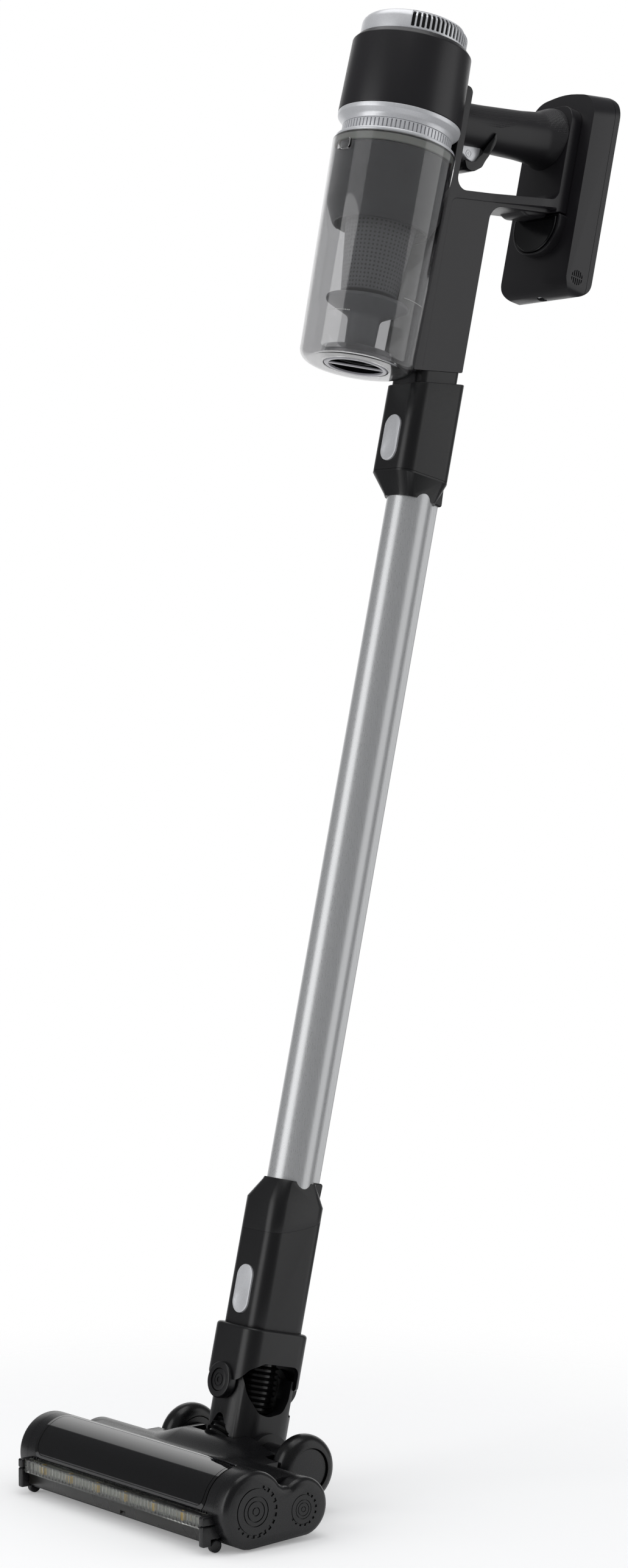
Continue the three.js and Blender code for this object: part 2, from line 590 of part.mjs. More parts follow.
function buildYoke() {
  const outlineAt = (inset) => box2(-YOKE_W / 2 + inset, YOKE_W / 2 - inset,
    YOKE_Y - YOKE_D / 2 + inset, YOKE_Y + YOKE_D / 2 - inset, YOKE_CORNER - inset);
  const body = prismZ(outlineAt(0), 4, YOKE_SHOULDER);
  const tongueOuter = sleeveFront + SLEEVE_WALL + RUNNING;
  const tongueBack = sleeveBack - SLEEVE_WALL - RUNNING;
  const tongueShape = (y0, y1) => prismY(outline([[-BOSS_R, YOKE_SHOULDER - 8], [BOSS_R, YOKE_SHOULDER - 8],
    [BOSS_R, ROLL_Z + BOSS_R, BOSS_R - 0.5], [-BOSS_R, ROLL_Z + BOSS_R, BOSS_R - 0.5]]), y0, y1);
  const front = tongueShape(tongueOuter, tongueOuter + YOKE_WALL);
  const back = tongueShape(tongueBack - YOKE_WALL, tongueBack);
  const barrel = barX(BARREL_R, -BARREL_HALF, BARREL_HALF, WAND_AHEAD, 0);
  const bore = barZ(HOSE_R + HOSE_RIB + RUNNING + 1, -6, YOKE_SHOULDER + 40, 0, 0);
  const mouth = prismY(outline([[-18, -20], [18, -20], [18, 25, 14], [-18, 25, 14]]), -FAR / 4, 6);
  const sideWindow = prismX(outline([[-20, YOKE_SHOULDER + 10], [-12, YOKE_WINDOW_BOTTOM, 8],
    [12, YOKE_WINDOW_BOTTOM, 8], [14, YOKE_SHOULDER + 10]]), -FAR / 4, FAR / 4);
  const lowEars = ROLL_Z - BOSS_R - 2;
  const swing = block(-FAR, FAR, YOKE_Y - YOKE_D, tongueOuter, lowEars, 120);
  const swingBack = block(-FAR, FAR, tongueBack, YOKE_Y + YOKE_D, lowEars, 120);
  const pinHole = barY(BOSS_PIN_R + SEAM, sleeveFront - 20, sleeveBack + 20, 0, ROLL_Z);
  const axleHole = barX(AXLE_R + SEAM, -FAR / 4, FAR / 4, WAND_AHEAD, 0);
  const yoke = cut(joined(body, front, back, barrel), swing, swingBack, bore, mouth, sideWindow, pinHole,
    axleHole);
  piece(stick, 'neck_yoke', yoke, MATT_BLACK);
}

function bellows(z0, z1) {
  const count = Math.floor((z1 - z0) / HOSE_PITCH);
  const profile = [[HOSE_R - HOSE_WALL, z0], [HOSE_R, z0]];
  for (let k = 0; k < count; k += 1) {
    const z = z0 + HOSE_PITCH * (k + 0.5);
    profile.push([HOSE_R, z - HOSE_PITCH * 0.3], [HOSE_R + HOSE_RIB, z], [HOSE_R, z + HOSE_PITCH * 0.3]);
  }
  profile.push([HOSE_R, z1], [HOSE_R - HOSE_WALL, z1], [HOSE_R - HOSE_WALL, z0]);
  return turned(profile, 0, 0, 16);
}

function lowerHose() {
  const start = new THREE.Vector3(0, 0, HOSE_JOIN).applyEuler(stick.rotation).add(stick.position);
  const down = new THREE.Vector3(0, 0, -1).applyEuler(stick.rotation);
  const end = new THREE.Vector3(0, HOSE_END_Y, HOSE_END_Z);
  const drop = (start.z - end.z) / -down.z;
  const corner = start.clone().addScaledVector(down, drop);
  const path = new THREE.QuadraticBezierCurve3(start, corner, end);
  const section = new THREE.Shape(circle2(0, 0, LOWER_HOSE_R, 16));
  section.holes.push(new THREE.Path(circle2(0, 0, LOWER_HOSE_R - HOSE_WALL, 16)));
  const tube = new THREE.ExtrudeGeometry(section, { steps: 8, extrudePath: path, bevelEnabled: false });
  piece(head, 'lower_hose', solid(tube), RUBBER);
}

// ---- floor head -------------------------------------------------------------------------------
const CAP_FACE = HEAD_HALF - CAP_THICK;         // inner face of both end caps
const roomR = BRUSH_HOUSING_R - HEAD_WALL;
const rearRoomR = REAR_R - HEAD_WALL;
const belowSole = block(-FAR, FAR, -FAR, FAR, -FAR, SOLE_Z);
const arcPoints = (radius, from, to, steps = 14) => Array.from({ length: steps + 1 }, (_, k) => {
  const angle = THREE.MathUtils.degToRad(from + ((to - from) * k) / steps);
  return new THREE.Vector2(BRUSH_Y + radius * Math.cos(angle), BRUSH_Z + radius * Math.sin(angle));
});
const sector = (inside, outside, half, low, high) =>
  prismX([...arcPoints(outside, high, low), ...arcPoints(inside, low, high)], -half, half);

function headBody() {
  const shell = joined(
    barX(BRUSH_HOUSING_R, -CAP_FACE + SEAM, CAP_FACE - SEAM, BRUSH_Y, BRUSH_Z),
    barX(REAR_R, -CAP_FACE + SEAM, CAP_FACE - SEAM, REAR_Y, REAR_Z),
    block(-CAP_FACE + SEAM, CAP_FACE - SEAM, BRUSH_Y, REAR_Y, 4, 40));
  const rollerRoom = barX(roomR, -CAP_FACE + 2, CAP_FACE - 2, BRUSH_Y, BRUSH_Z);
  const motorRoom = joined(
    barX(rearRoomR, -CAP_FACE + 2, CAP_FACE - 2, REAR_Y, REAR_Z),
    block(-CAP_FACE + 2, CAP_FACE - 2, BRUSH_Y + roomR + HEAD_WALL, REAR_Y, 8, 37));
  const saddle = prismX(outline([[66, 30], [66, 47], [80, 48, 12], [SADDLE_FRONT_Y, SADDLE_TOP_Z, 3],
    [AXLE_Y - 20, SADDLE_TOP_Z], [AXLE_Y - 14, 14], [98, 9], [80, 9]]), -CHEEK_OUTER, CHEEK_OUTER);
  const cheeks = joined(barX(CHEEK_R, -CHEEK_OUTER, CHEEK_OUTER, AXLE_Y, AXLE_Z),
    prismX([[95, 14], [AXLE_Y, AXLE_Z - CHEEK_R], [AXLE_Y, AXLE_Z + CHEEK_R],
      [SADDLE_FRONT_Y, SADDLE_TOP_Z]].map(([u, v]) => new THREE.Vector2(u, v)), -CHEEK_OUTER, CHEEK_OUTER));
  const slotHalf = YOKE_W / 2 + 1.5;
  const barrelRoom = joined(
    barX(BARREL_R + RUNNING, -BARREL_HALF - RUNNING, BARREL_HALF + RUNNING, AXLE_Y, AXLE_Z),
    block(-BARREL_HALF - RUNNING, BARREL_HALF + RUNNING, AXLE_Y, AXLE_Y + 60, AXLE_Z - 40, AXLE_Z + 60));
  const yokeFront = AXLE_Y - WAND_AHEAD + YOKE_Y - YOKE_D / 2;
  const yokeSwing = joined(barX(YOKE_D / 2 + 4, -slotHalf, slotHalf, AXLE_Y, AXLE_Z),
    block(-slotHalf, slotHalf, yokeFront - 2 * RUNNING, FAR, AXLE_Z, FAR));
  const hoseWay = barY(LOWER_HOSE_R + SEAM, REAR_Y, AXLE_Y, 0, HOSE_END_Z);
  const rear = cut(joined(saddle, cheeks), barrelRoom, yokeSwing);
  const wheelRooms = [-1, 1].map((side) => barX(WHEEL_R + 2,
    side > 0 ? CHEEK_OUTER + SEAM : -WHEEL_OUTER - 4, side > 0 ? WHEEL_OUTER + 4 : -CHEEK_OUTER - SEAM,
    AXLE_Y, AXLE_Z));
  const dustWay = block(-LOWER_HOSE_R, LOWER_HOSE_R, BRUSH_Y + 15, REAR_Y, 16, 34);
  const mouth = block(-ROLLER_HALF - 1, ROLLER_HALF + 1, MOUTH_FRONT, MOUTH_BACK, -10, 16);
  return cut(joined(shell, rear), rollerRoom, motorRoom, hoseWay, dustWay, mouth, ...wheelRooms,
    barX(AXLE_R + SEAM, -FAR, FAR, AXLE_Y, AXLE_Z),
    barX(ROLLER_PIN_R + RUNNING, -FAR, FAR, BRUSH_Y, BRUSH_Z), barX(AXLE_R, 0, FAR, REAR_Y, REAR_Z),
    belowSole);
}

function buildHeadShells() {
  const whole = headBody();
  const lampRoom = block(-LAMP_HALF - SEAM, LAMP_HALF + SEAM, -FAR, LAMP_FRONT + LAMP_DEPTH + SEAM,
    STRIP_BOTTOM - 3, LAMP_TOP + SEAM);
  const ends = joined(...[-1, 1].map((side) => {
    const edges = [side * (LAMP_HALF + SEAM), side * (CAP_FACE - SEAM)].sort((a, b) => a - b);
    return cut(block(edges[0], edges[1], LAMP_FRONT - 2, 14, SOLE_Z + 4, LAMP_TOP),
      barX(roomR, -FAR, FAR, BRUSH_Y, BRUSH_Z));
  }));
  const opening = sector(roomR - OVERSHOOT, BRUSH_HOUSING_R + 4, WINDOW_HALF, WINDOW_LOW, WINDOW_HIGH);
  const upper = block(-FAR, FAR, -FAR, FAR, SPLIT_Z, FAR);
  const full = cut(joined(whole, ends), lampRoom);
  piece(head, 'head_cover', cut(full.intersect(upper), opening), MATT_BLACK);
  const gap = THREE.MathUtils.radToDeg(SEAM / BRUSH_HOUSING_R);
  piece(head, 'roller_window', sector(BRUSH_HOUSING_R - WINDOW_THICK, BRUSH_HOUSING_R,
    WINDOW_HALF - SEAM, WINDOW_LOW - gap, WINDOW_HIGH + gap), SMOKE);
  const strip = block(-LAMP_HALF - SEAM, LAMP_HALF + SEAM, -FAR, STRIP_FRONT + STRIP_THICK + SEAM,
    STRIP_BOTTOM - 3, LAMP_BOTTOM);
  const nose = cut(block(-LAMP_HALF - 2, LAMP_HALF + 2, STRIP_FRONT + STRIP_THICK, MOUTH_FRONT,
    SOLE_Z + 4, SPLIT_Z), barX(roomR, -FAR, FAR, BRUSH_Y, BRUSH_Z), strip,
  block(-LAMP_HALF - SEAM, LAMP_HALF + SEAM, -FAR, LAMP_FRONT + LAMP_DEPTH + SEAM, LAMP_BOTTOM - SEAM, FAR));
  const wells = [-1, 1].map((side) => {
    const edges = [side * (CASTER_X - CASTER_W / 2 - RUNNING), side * FAR].sort((a, b) => a - b);
    return joined(
      block(edges[0], edges[1], CASTER_Y - CASTER_R - 1, CASTER_Y + CASTER_R + 1, -10, CASTER_R * 2 + 1),
      barX(CASTER_PIN_R + SEAM, Math.min(0, side * FAR), Math.max(0, side * FAR), CASTER_Y, CASTER_R));
  });
  const lower = block(-FAR, FAR, -FAR, FAR, -FAR, SPLIT_Z - SEAM);
  piece(head, 'head_base', cut(joined(full, nose).intersect(lower), ...wells), MATT_BLACK);
}

// End cap for the +X side; the other one is its mirror image.
function endCap(side) {
  const bevelled = (radius, y, z) => turnedX([[0, CAP_FACE], [radius, CAP_FACE],
    [radius, HEAD_HALF - CAP_BEVEL], [radius - CAP_BEVEL * 0.2, HEAD_HALF - CAP_BEVEL * 0.5],
    [radius - CAP_BEVEL * 0.9, HEAD_HALF], [0, HEAD_HALF]], y, z);
  const web = block(CAP_FACE, HEAD_HALF - 1.5, BRUSH_Y, REAR_Y, 6, 42.5);
  const hollowEnd = CAP_FACE + CAP_HOLLOW;
  const hollow = joined(
    barX(BRUSH_HOUSING_R - 4, CAP_FACE - OVERSHOOT, hollowEnd, BRUSH_Y, BRUSH_Z),
    barX(REAR_R - 4, CAP_FACE - OVERSHOOT, hollowEnd, REAR_Y, REAR_Z),
    block(CAP_FACE - OVERSHOOT, hollowEnd, BRUSH_Y, REAR_Y, 12, 40.5));
  const cap = cut(joined(bevelled(BRUSH_HOUSING_R, BRUSH_Y, BRUSH_Z), bevelled(REAR_R, REAR_Y, REAR_Z), web),
    hollow, belowSole);
  return side > 0 ? cap : cap.mirror([1, 0, 0]);
}

function buildLamp() {
  const back = LAMP_FRONT + LAMP_DEPTH;
  const pocketFront = LAMP_FRONT + 2;
  const pocket = block(-LAMP_HALF + 2, LAMP_HALF - 2, pocketFront, back + OVERSHOOT, LAMP_BOTTOM + 2,
    LAMP_TOP - 2);
  piece(head, 'lamp_lens', cut(block(-LAMP_HALF, LAMP_HALF, LAMP_FRONT, back, LAMP_BOTTOM, LAMP_TOP),
    pocket), SMOKE);
  const boardBack = back - 1.5;
  const board = block(-LAMP_HALF + 2.5, LAMP_HALF - 2.5, boardBack - 1.6, boardBack, LAMP_BOTTOM + 2.4,
    LAMP_TOP - 2.4);
  const middle = (LAMP_BOTTOM + LAMP_TOP) / 2;
  const lamps = Array.from({ length: LAMP_COUNT }, (_, k) => {
    const x = (k - (LAMP_COUNT - 1) / 2) * LAMP_PITCH;
    return block(x - 2.5, x + 2.5, boardBack - 3, boardBack - 1, middle - 2, middle + 2);
  });
  piece(head, 'lamp_board', joined(board, ...lamps), LAMP_AMBER);
  const notch = block(NOTCH_FROM, NOTCH_TO, -FAR, FAR, STRIP_BOTTOM - OVERSHOOT, STRIP_BOTTOM + 3);
  piece(head, 'front_strip', cut(block(-LAMP_HALF, LAMP_HALF, STRIP_FRONT, STRIP_FRONT + STRIP_THICK,
    STRIP_BOTTOM, LAMP_BOTTOM - SEAM), notch), SMOKE);
}

function buildBrush() {
  const endFace = ROLLER_HALF + 6;
  const drive = PULLEY_X + PULLEY_W / 2 + 1;
  piece(head, 'brush_core', turnedX([[0, -endFace - 8], [ROLLER_PIN_R, -endFace - 8],
    [ROLLER_PIN_R, -endFace], [ROLLER_CORE_R, -endFace], [ROLLER_CORE_R, endFace],
    [ROLLER_PIN_R, endFace], [ROLLER_PIN_R, PULLEY_X - PULLEY_W / 2], [BRUSH_PULLEY_R, PULLEY_X - PULLEY_W / 2],
    [BRUSH_PULLEY_R, drive - 1], [0, drive - 1]], BRUSH_Y, BRUSH_Z), DARK_GREY);
  piece(head, 'brush_fibre', turnedX([[ROLLER_CORE_R + SEAM, -ROLLER_HALF], [ROLLER_R, -ROLLER_HALF],
    [ROLLER_R, ROLLER_HALF], [ROLLER_CORE_R + SEAM, ROLLER_HALF], [ROLLER_CORE_R + SEAM, -ROLLER_HALF]],
  BRUSH_Y, BRUSH_Z), BRISTLE);
  const shaftHole = barX(SHAFT_R + SEAM, MOTOR_OUTER - 20, MOTOR_OUTER + 5, REAR_Y, REAR_Z);
  piece(head, 'brush_motor', cut(barX(MOTOR_R, MOTOR_INNER, MOTOR_OUTER, REAR_Y, REAR_Z), shaftHole),
    STEEL);
  piece(head, 'motor_pulley', turnedX([[0, MOTOR_OUTER - 18], [SHAFT_R, MOTOR_OUTER - 18],
    [SHAFT_R, PULLEY_X - PULLEY_W / 2], [MOTOR_PULLEY_R, PULLEY_X - PULLEY_W / 2],
    [MOTOR_PULLEY_R, drive - 1], [0, drive - 1]], REAR_Y, REAR_Z), STEEL);
  // The belt runs straight between the points where its two outer tangents leave the pulleys.
  const span = Math.hypot(REAR_Y - BRUSH_Y, REAR_Z - BRUSH_Z);
  const slope = Math.atan2(REAR_Z - BRUSH_Z, REAR_Y - BRUSH_Y);
  const wrap = Math.acos((BRUSH_PULLEY_R - MOTOR_PULLEY_R) / span);
  const loop = (grow) => {
    const arc = (y, z, radius, from, to) => Array.from({ length: 13 }, (_, k) => {
      const angle = from + ((to - from) * k) / 12;
      return new THREE.Vector2(y + radius * Math.cos(angle), z + radius * Math.sin(angle));
    });
    return [...arc(BRUSH_Y, BRUSH_Z, BRUSH_PULLEY_R + grow, slope + wrap, slope + 2 * Math.PI - wrap),
      ...arc(REAR_Y, REAR_Z, MOTOR_PULLEY_R + grow, slope - wrap, slope + wrap)];
  };
  const from = PULLEY_X - PULLEY_W / 2 + 0.4;
  const to = PULLEY_X + PULLEY_W / 2 - 0.4;
  piece(head, 'drive_belt', cut(prismX(loop(SEAM + BELT_THICK), from, to),
    prismX(loop(SEAM), from - OVERSHOOT, to + OVERSHOOT)), RUBBER);
}

function buildWheels() {
  [['left', -1], ['right', 1]].forEach(([name, side]) => {
    const place = (shape3) => (side > 0 ? shape3 : shape3.mirror([1, 0, 0]));
    const shoulder = 4;
    const tyre = turnedX([[HUB_R + SEAM, WHEEL_INNER], [WHEEL_R - shoulder, WHEEL_INNER],
      [WHEEL_R - 1, WHEEL_INNER + 2], [WHEEL_R, WHEEL_INNER + shoulder], [WHEEL_R, WHEEL_OUTER - shoulder],
      [WHEEL_R - 1, WHEEL_OUTER - 1.6], [WHEEL_R - shoulder, WHEEL_OUTER], [HUB_R + SEAM, WHEEL_OUTER - 1],
      [HUB_R + SEAM, WHEEL_INNER]], AXLE_Y, AXLE_Z);
    const hub = turnedX([[AXLE_R + SEAM, WHEEL_INNER], [HUB_R, WHEEL_INNER], [HUB_R, WHEEL_OUTER - 1.5],
      [0, WHEEL_OUTER - 1.5], [0, WHEEL_OUTER - 5], [AXLE_R + SEAM, WHEEL_OUTER - 5],
      [AXLE_R + SEAM, WHEEL_INNER]], AXLE_Y, AXLE_Z);
    piece(head, `${name}_tyre`, place(tyre), RUBBER);
    piece(head, `${name}_hub`, place(hub), DARK_GREY);
    piece(head, `${name}_axle`, place(barX(AXLE_R, BARREL_HALF - 9, WHEEL_OUTER - 6, AXLE_Y, AXLE_Z)),
      STEEL);
    const caster = turnedX([[0, CASTER_X - CASTER_W / 2 - 4], [CASTER_PIN_R, CASTER_X - CASTER_W / 2 - 4],
      [CASTER_PIN_R, CASTER_X - CASTER_W / 2], [CASTER_R, CASTER_X - CASTER_W / 2],
      [CASTER_R, CASTER_X + CASTER_W / 2], [0, CASTER_X + CASTER_W / 2]], CASTER_Y, CASTER_R);
    piece(head, `${name}_caster`, place(caster), RUBBER);
  });
}

// ---- handheld: cyclone and motor --------------------------------------------------------------
const aboutCup = (profile) => turned(profile, 0, CUP_Y);

function buildCup() {
  const wall = CUP_WALL;
  const lowInner = CUP_LOW_R - wall;
  const hole = KNOB_R + RUNNING;
  const shell = aboutCup([[hole, CUP_BASE], [CUP_LOW_R - 8, CUP_BASE], [CUP_LOW_R - 2.5, CUP_BASE + 2.5],
    [CUP_LOW_R, CUP_LOW], [CUP_TOP_R, CUP_TOP], [CUP_TOP_R - wall, CUP_TOP], [lowInner, CUP_LOW],
    [lowInner - 2.5, CUP_BASE + wall + 2], [lowInner - 7, CUP_BASE + wall], [hole + wall, CUP_BASE + wall],
    [hole + wall, CUP_BASE + KNOB_DEPTH + 3], [hole, CUP_BASE + KNOB_DEPTH + 3], [hole, CUP_BASE]]);
  const port = block(-PORT_HALF, PORT_HALF, CUP_Y + 20, 0, PORT_LOW, PORT_HIGH);
  piece(stick, 'dust_cup', cut(shell, port), SMOKE);
  const sealR = CUP_TOP_R - wall - SEAM - 0.2;
  piece(stick, 'cup_seal', ring(sealR, sealR - 2.2, CUP_TOP - 1 - CUP_SEAL_HEIGHT, CUP_TOP - 1, 0, CUP_Y),
    PALE_GREY);
  const shroudTop = CUP_TOP - 2 - CUP_SEAL_HEIGHT;
  const shroudWall = 1.6;
  const shroud = aboutCup([[SHROUD_R, shroudTop], [SHROUD_R, SHROUD_LIP_Z + 17],
    [SHROUD_R - 1.8, SHROUD_LIP_Z + 9], [SHROUD_LIP_R, SHROUD_LIP_Z], [SHROUD_LIP_R - shroudWall, SHROUD_LIP_Z],
    [SHROUD_R - 1.8 - shroudWall, SHROUD_LIP_Z + 9], [SHROUD_R - shroudWall, SHROUD_LIP_Z + 17],
    [SHROUD_R - shroudWall, shroudTop - 2], [FILTER_TOP_R - 2, shroudTop - 2], [FILTER_TOP_R - 2, shroudTop],
    [SHROUD_R, shroudTop]]);
  piece(stick, 'cyclone_shroud', cut(shroud, port), DARK_GREY);
  const filterTop = shroudTop - 2 - SEAM;
  piece(stick, 'filter_cone', aboutCup([[0, FILTER_LOW_Z], [FILTER_LOW_R, FILTER_LOW_Z],
    [FILTER_TOP_R, SHROUD_LIP_Z], [FILTER_TOP_R + 0.5, filterTop], [FILTER_TOP_R - 1.5, filterTop],
    [FILTER_TOP_R - 2, SHROUD_LIP_Z], [FILTER_LOW_R - 2, FILTER_LOW_Z + 2], [0, FILTER_LOW_Z + 2]]),
  DARK_GREY);
  const tubeLow = CUP_BASE + KNOB_DEPTH + 3 + SEAM;
  piece(stick, 'skirt_tube', aboutCup([[0, FILTER_LOW_Z - SEAM], [10, FILTER_LOW_Z - SEAM],
    [SKIRT_R, SKIRT_Z + 4.5], [SKIRT_R, SKIRT_Z + 2.5], [18, SKIRT_Z - 6], [DUCT_TUBE_R, SKIRT_Z - 9],
    [DUCT_TUBE_R - 1, tubeLow], [DUCT_TUBE_R - 3, tubeLow], [DUCT_TUBE_R - 2, SKIRT_Z - 9], [0, SKIRT_Z - 2]]),
  DARK_GREY);
  const knobTop = CUP_BASE + KNOB_DEPTH + 3;
  const knob = aboutCup([[0, CUP_BASE + KNOB_DEPTH], [KNOB_WELL_R, CUP_BASE + KNOB_DEPTH],
    [KNOB_WELL_R, CUP_BASE], [KNOB_R, CUP_BASE], [KNOB_R, knobTop], [0, knobTop]]);
  const bar = block(-KNOB_WELL_R - 1, KNOB_WELL_R + 1, -KNOB_BAR / 2, KNOB_BAR / 2, CUP_BASE + 1,
    CUP_BASE + KNOB_DEPTH + 1).rotate([0, 0, KNOB_REST]).translate([0, CUP_Y, 0]);
  piece(stick, 'cup_knob', joined(knob, bar), DARK_GREY);
}

function buildMotor() {
  const wall = HOUSING_WALL;
  const topZ = HOUSING_TOP + HOUSING_CHAMFER;
  const mountZ = (MOTOR_CAN_LOW + MOTOR_CAN_TOP) / 2;
  const canHole = MOTOR_CAN_R + SEAM;
  const housing = aboutCup([[HOUSING_LOW_R - wall, HOUSING_LOW + SEAM], [HOUSING_LOW_R, HOUSING_LOW + SEAM],
    [HOUSING_TOP_R, HOUSING_TOP], [HOUSING_TOP_R - HOUSING_CHAMFER * 0.9, topZ], [EXHAUST_R - 3, topZ],
    [EXHAUST_R - 3, topZ - 3], [HOUSING_TOP_R - wall, topZ - 5], [HOUSING_TOP_R - wall, mountZ + 2],
    [canHole, mountZ + 2], [canHole, mountZ - 2], [HOUSING_TOP_R - wall, mountZ - 2],
    [HOUSING_LOW_R - wall, HOUSING_LOW + SEAM]]);
  const vents = Array.from({ length: 6 }, (_, k) => {
    const angle = (k * Math.PI) / 3;
    return barZ(6, mountZ - 5, mountZ + 5, 36.5 * Math.cos(angle), CUP_Y + 36.5 * Math.sin(angle), 10);
  });
  piece(stick, 'motor_housing', cut(housing, ...vents), MATT_BLACK);
  piece(stick, 'motor_can', cut(aboutCup([[0, MOTOR_CAN_LOW], [MOTOR_CAN_R, MOTOR_CAN_LOW],
    [MOTOR_CAN_R, MOTOR_CAN_TOP], [0, MOTOR_CAN_TOP]]),
  barZ(SHAFT_R + SEAM, MOTOR_CAN_LOW - 5, MOTOR_CAN_TOP - 6, 0, CUP_Y)), STEEL);
  const hubZ = MOTOR_CAN_LOW - 5;
  const wheel = aboutCup([[0, hubZ - 8], [6, hubZ - 8], [8, hubZ - 2], [IMPELLER_R, hubZ - 1.5],
    [IMPELLER_R, hubZ], [SHAFT_R, hubZ], [SHAFT_R, MOTOR_CAN_TOP - 10], [0, MOTOR_CAN_TOP - 10]]);
  const blades = Array.from({ length: 9 }, (_, k) => block(5, IMPELLER_R - 1, -0.6, 0.6, hubZ - 7, hubZ - 1)
    .rotate([0, 0, 40 * k]).translate([0, CUP_Y, 0]));
  piece(stick, 'impeller', joined(wheel, ...blades), STEEL);
  const filterOuter = EXHAUST_R - 2 - SEAM - 1;
  piece(stick, 'exhaust_filter', ring(filterOuter, filterOuter - 10, topZ + SEAM, EXHAUST_TOP - 4, 0, CUP_Y),
    FILTER_FELT);
  const edge = (radius, top, inset) => Array.from({ length: 4 }, (_, k) => {
    const angle = (k * Math.PI) / 6;
    const r = EXHAUST_EDGE - inset;
    return [radius - r + r * Math.cos(angle), top - r + r * Math.sin(angle)];
  });
  const capWall = 2;
  const cap = aboutCup([[EXHAUST_R - capWall, topZ + SEAM], [EXHAUST_R, topZ + SEAM],
    ...edge(EXHAUST_R, EXHAUST_TOP, 0), [0, EXHAUST_TOP], [0, EXHAUST_TOP - capWall],
    ...edge(EXHAUST_R - capWall, EXHAUST_TOP - capWall, capWall).reverse(),
    [EXHAUST_R - capWall, topZ + SEAM]]);
  const louvreCount = Math.floor((360 - 2 * LOUVRE_START) / LOUVRE_PITCH) + 1;
  const louvres = Array.from({ length: louvreCount }, (_, k) =>
    block(EXHAUST_R - 3.2, EXHAUST_R + 2, -LOUVRE_W / 2, LOUVRE_W / 2, LOUVRE_LOW,
      LOUVRE_LOW + LOUVRE_H - 3).rotate([0, 0, LOUVRE_START + k * LOUVRE_PITCH - 90])
      .translate([0, CUP_Y, 0]));
  piece(stick, 'exhaust_cap', cut(cap, ...louvres), SATIN_SILVER);
  piece(stick, 'flare_ring', aboutCup([[RING_BORE_R, FLARE_LOW], [FLUTE_R, FLARE_LOW],
    [FLUTE_R + 3, FLARE_LOW + 1.8], [HOUSING_LOW_R - 0.6, FLARE_LOW + 5], [HOUSING_LOW_R, HOUSING_LOW],
    [RING_BORE_R, HOUSING_LOW], [RING_BORE_R, FLARE_LOW]]), SATIN_SILVER);
  const fluted = Array.from({ length: FLUTE_COUNT * 2 }, (_, k) => {
    const angle = (Math.PI * k) / FLUTE_COUNT;
    const radius = FLUTE_R - (k % 2 ? FLUTE_DEPTH : 0);
    return new THREE.Vector2(radius * Math.cos(angle), CUP_Y + radius * Math.sin(angle));
  });
  piece(stick, 'fluted_ring', cut(prismZ(fluted, FLUTE_LOW, FLARE_LOW - SEAM),
    barZ(RING_BORE_R, FLUTE_LOW - 5, FLARE_LOW + 5, 0, CUP_Y)), SATIN_SILVER);
  piece(stick, 'lip_ring', ring(LIP_R, RING_BORE_R, CUP_TOP + SEAM, FLUTE_LOW - SEAM, 0, CUP_Y),
    SATIN_SILVER);
}

// ---- handheld: spine and handle ---------------------------------------------------------------
// Height of the rising lines of the handle at a distance y behind the tube's centre line.
const riseAt = (z, y) => z + y * HANDLE_RISE;

